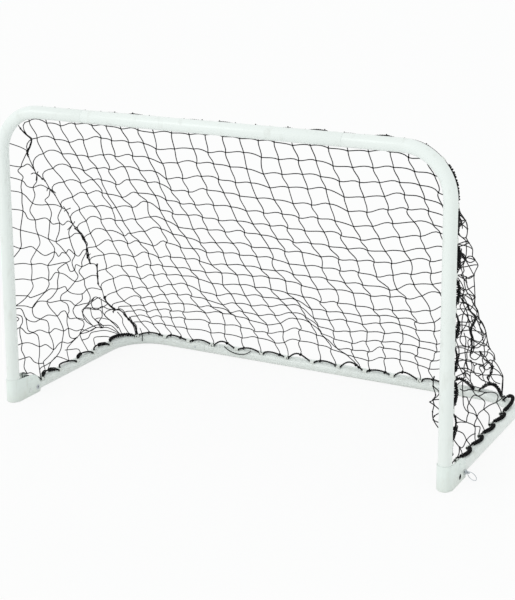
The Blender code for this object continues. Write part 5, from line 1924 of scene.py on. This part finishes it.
    def side_panel(self, side: Side) -> None:
        """Knot one side panel from its twines, with the bunches round its border rope.

        Args:
            side: Which side.
        """
        left = side is Side.LEFT
        twines = LEFT_TWINES if left else RIGHT_TWINES
        strands = [smooth([self.place(side, *pair) for pair in twine]) for twine in twines]
        met = [pair for twine in twines for pair in dict.fromkeys(twine)]
        knots = [self.place(side, *pair) for pair in dict.fromkeys(met)
                 if met.count(pair) > 1 or pair[1] == 0 or pair[0] == -999]
        if not left:
            inner = [[Vector((x / 1000, INNER_Y, z / 1000)) for x, z in twine] for twine in INNER_TWINES]
            strands += [smooth(line) for line in inner]
            knots += [place for line in inner for place in line[:-1]]
        for rope, first, last, swell in self.bunches(side):
            first, last = (first, last) if left else (rope.line.length - last, rope.line.length - first)
            for low, high in zip(rope.clips, rope.clips[1:]):
                start = max(low + self.bunch_gap, first)
                length = min(high - self.bunch_gap, last) - start
                if length > 0.02:
                    self.coil(rope, start, length, self.bunch_pitches[0], swell)
                    self.coil(rope, start + 0.003, length - 0.006, self.bunch_pitches[1], swell)
        self.panel(f"{side.word}_net_panel", strands, knots, [f"net_{side.word}_side"])

    def bunches(self, side: Side) -> list[tuple[BorderRope, float, float, float]]:
        """Where twine is bunched round the ropes of a side: rope, both marks and swell."""
        arch, base = self.arch_rope, self.base_rope
        if side is Side.LEFT:
            return [(base, 0.17, 0.21, 0.002), (base, 0.235, 0.28, 0.002), (base, 0.42, 0.47, 0.001),
                    (base, 0.60, 0.85, 0.001), (arch, 0.50, 0.58, 0.001), (arch, 1.10, 1.20, 0.001)]
        return [(arch, 0.17, 0.23, 0.002), (arch, 0.29, 0.47, 0.002), (arch, 0.52, 0.61, 0.002),
                (arch, 0.65, 1.15, 0.002), (base, 0.18, 1.10, 0.0008)]

    def seam_bunch(self, side: Side) -> None:
        """Bunch the twines of a seam: one twine from knot to knot, more where it is gathered.

        Args:
            side: Which seam.
        """
        draw = random.Random(self.seed + 31 * (side.value + 2))
        left = side is Side.LEFT
        corner = self.on_rope(self.arch_rope, side, ARCH.corner), self.on_rope(self.base_rope, side, BASE.corner)
        if left:
            chain = [corner[0], *(self.place(side, *pair) for pair in LEFT_CHAIN), corner[1]]
            bunches = [chain[first + 1:last + 1] for first, last in LEFT_BUNCHES] + [chain[-3:], chain[-3:]]
            tails = [chain[k + 1] for k in LEFT_TAILS]
        else:
            chain = [corner[0], *(self.place(side, *pair) for pair in RIGHT_ENDS[:5])]
            bunches = [[self.place(side, *pair) for pair in line] for line in RIGHT_CHAINS]
            foot = self.place(side, *RIGHT_ENDS[-1])
            tails = [line[len(line) // 2] for line in bunches[:5]]
        strands, knots = [smooth(chain)], chain[1:]
        if left:
            strands.append(smooth([Vector(place) for place in LOOSE_END]))
        else:
            middle = foot.lerp(corner[1], 0.5)
            strands += [smooth([foot, middle + BACK * aside, corner[1]]) for aside in (0.006, -0.004)]
        for bunch in bunches:
            for _ in range(3):
                line = [point + Vector((draw.gauss(0, self.spread) for _ in range(3))) for point in bunch]
                strands.append(smooth(line))
                knots += line[::2]
        for point in tails:
            for _ in range(2):
                way = Vector((draw.gauss(0, 0.4), draw.gauss(0, 0.8), draw.gauss(0, 0.8))).normalized()
                reach = draw.uniform(0.017, 0.028)
                curl = Vector((0.0, draw.gauss(0, 0.3), draw.gauss(0, 0.3))) * reach
                strands.append(smooth([point - way * reach + curl, point - way * reach * 0.4,
                                       point + way * reach * 0.5, point + way * reach + curl]))
        self.panel(f"{side.word}_net_seam", strands, knots, [f"net_{side.word}_seam_cord"])

    def build(self) -> None:
        """Knot the whole net; the twine wound round a rope stays with that rope's frame."""
        self.rear()
        for side in Side:
            self.side_panel(side)
            self.seam_bunch(side)
        for word, body, lines in zip(("arch", "base"), Body, self.wraps):
            name = f"{word}_rope_wraps"
            item = new_object(name, swept(name, lines, self.twine_r))
            mount(dressed(item, TWINE_FIBRE, 60.0), body)


# ---------------------------------------------------------------- stage


@dataclass
class Studio:
    """The floor, the lights and the camera.

    Attributes:
        floor_tone: The floor's colour.
        sky: Strength of the even light.
        key: Strength of the broad lamp from the upper left.
        focal_px: Focal length in pixels of the 515 by 600 picture.
        centre_px: The lens axis in those pixels.
        eye: The camera's place.
        yaw: Its turn to the left, in degrees.
        pitch: Its tilt down, in degrees.
        roll: Its roll, in degrees.
        floor_half: Half the floor's width.
        picture: Width and height of the picture in pixels.
        white: Strength of the floor's glow and of the background as the camera sees them.
        glow: The glow's share of the floor's look.
        tint: Colour of the even light.
        lamp_deg: Width of the lamp in the sky, in degrees.
        lamp_from: Where the lamp shines from.
    """

    floor_tone: tuple[float, float, float] = (0.95, 0.95, 0.945)
    sky: float = 0.94
    key: float = 0.45
    focal_px: float = 1393.8
    centre_px: tuple[float, float] = (281.43, 180.0)
    eye: tuple[float, float, float] = (2.5363, -4.7219, 2.0907)
    yaw: float = 27.544
    pitch: float = 12.187
    roll: float = -0.212
    floor_half: float = 30.0
    picture: tuple[int, int] = (515, 600)
    white: float = 0.985
    glow: float = 0.90
    tint: tuple[float, float, float] = (0.955, 1.0, 0.985)
    lamp_deg: float = 28.0
    lamp_from: tuple[float, float, float] = (-0.62, -0.80, 0.42)

    @staticmethod
    def any_ray(tree: bpy.types.NodeTree, *kinds: str) -> bpy.types.NodeSocket:
        """A factor that is 1 on some kinds of ray.

        Args:
            tree: The node tree.
            kinds: Names of the kinds, as the light path node has them.

        Returns:
            The factor.
        """
        light = tree.nodes.new("ShaderNodeLightPath").outputs
        seen = light[kinds[0]]
        for kind in kinds[1:]:
            either = tree.nodes.new("ShaderNodeMath")
            either.operation = "MAXIMUM"
            tree.links.new(seen, either.inputs[0])
            tree.links.new(light[kind], either.inputs[1])
            seen = either.outputs[0]
        return seen

    def camera(self) -> None:
        """Set up the camera at the photograph's place and angle."""
        yaw, pitch, roll = (math.radians(a) for a in (self.yaw, self.pitch, self.roll))
        ahead = Vector((-math.sin(yaw) * math.cos(pitch), math.cos(yaw) * math.cos(pitch), -math.sin(pitch)))
        right = Vector((math.cos(yaw), math.sin(yaw), 0.0))
        above = right.cross(ahead)
        level_right = right * math.cos(roll) + above * math.sin(roll)
        level_up = above * math.cos(roll) - right * math.sin(roll)
        data = bpy.data.cameras.new("camera")
        width, height = self.picture
        data.sensor_width = 36.0
        data.lens = self.focal_px * data.sensor_width / max(width, height)
        data.shift_x = (width / 2 - self.centre_px[0]) / max(width, height)
        data.shift_y = (self.centre_px[1] - height / 2) / max(width, height)
        data.clip_start, data.clip_end = 0.05, 60.0
        item = new_object("camera", data)
        item.matrix_world = Matrix([(level_right[i], level_up[i], -ahead[i], self.eye[i]) for i in range(3)]
                                   + [(0, 0, 0, 1)])
        bpy.context.scene.camera = item

    def floor(self) -> None:
        """Lay the pale floor; it shows lighter to the camera, with the goal's shadow kept."""
        shape = bmesh.new()
        bmesh.ops.create_grid(shape, x_segments=1, y_segments=1, size=self.floor_half)
        item = new_object("floor", to_mesh(shape, "floor"))
        sheet = NodeSheet("floor_card")
        sheet.shader.inputs["Base Color"].default_value = (*self.floor_tone, 1.0)
        sheet.shape(Roughness=0.9, Specular_IOR_Level=0.1)
        glow = sheet.add("ShaderNodeEmission")
        glow.inputs["Strength"].default_value = self.white
        mixed = sheet.add("ShaderNodeMixShader")
        seen = self.any_ray(sheet.tree, "Is Camera Ray", "Is Glossy Ray")
        sheet.join(sheet.times(seen, self.glow), mixed.inputs[0])
        sheet.join(sheet.shader.outputs[0], mixed.inputs[1])
        sheet.join(glow.outputs[0], mixed.inputs[2])
        sheet.join(mixed.outputs[0], sheet.tree.nodes["Material Output"].inputs["Surface"])
        item.data.materials.append(sheet.material)

    def lights(self) -> None:
        """Even light from the world, a white background, and one broad lamp."""
        world = bpy.data.worlds.new("studio")
        world.use_nodes = True
        bpy.context.scene.world = world
        tree = world.node_tree
        seen = self.any_ray(tree, "Is Camera Ray", "Is Glossy Ray", "Is Transmission Ray")
        strength = tree.nodes.new("ShaderNodeMapRange")
        strength.inputs["To Min"].default_value = self.sky
        strength.inputs["To Max"].default_value = self.white
        tree.links.new(seen, strength.inputs["Value"])
        tint = tree.nodes.new("ShaderNodeMix")
        tint.data_type = "RGBA"
        tree.links.new(seen, tint.inputs["Factor"])
        tint.inputs[6].default_value = (*self.tint, 1.0)
        tint.inputs[7].default_value = (1.0, 1.0, 1.0, 1.0)
        tree.links.new(tint.outputs[2], tree.nodes["Background"].inputs["Color"])
        tree.links.new(strength.outputs["Result"], tree.nodes["Background"].inputs["Strength"])
        lamp = bpy.data.lights.new("key", "SUN")
        lamp.energy = self.key
        lamp.angle = math.radians(self.lamp_deg)
        item = new_object("key", lamp)
        item.rotation_mode = "QUATERNION"
        item.rotation_quaternion = Vector(self.lamp_from).to_track_quat("Z", "Y")

    def build(self) -> None:
        """Set the stage."""
        self.camera()
        self.floor()
        self.lights()
        bpy.context.scene.view_settings.view_transform = "Standard"


def main() -> None:
    """Build the goal's pieces in order and report each."""
    logging.basicConfig(level=logging.INFO, format="%(name)s: %(message)s")
    Studio().build()
    clips = NetClips()
    post, rail = ARCH.length, BASE.length
    arch_rope = BorderRope(ARCH, 0.119, clips.marks(ARCH), (0.003, 0.010), 3,
                           [(post - 0.95, post - 0.15, 0.010, -0.005)])
    corner = rail - BASE.corner
    base_rope = BorderRope(BASE, 0.166, clips.marks(BASE), (0.006, 0.012), 5, [
        (0.0, BASE.corner - 0.05, 0.004, 0.023), (BASE.corner - 0.05, corner, 0.005, 0.013),
        *((BASE.mark_of(x), BASE.mark_of(x + 0.1), 0.021, 0.013) for x in (-0.48, -0.11, 0.14, 0.39)),
        (BASE.mark_of(0.62), corner - 0.02, 0.026, 0.020), (corner - 0.02, rail - 0.65, 0.020, 0.026),
        (rail - 0.65, rail - 0.10, 0.003, 0.028)])
    FrameTubes().build()
    HingeBoots().build()
    SpringButtons().build()
    clips.build()
    arch_rope.build("arch_border_rope", Body.FRONT, "arch_rope")
    base_rope.build("base_border_rope", Body.BASE, "base_rope")
    GoalNet(arch_rope, base_rope).build()


if __name__ == "__main__":
    main()
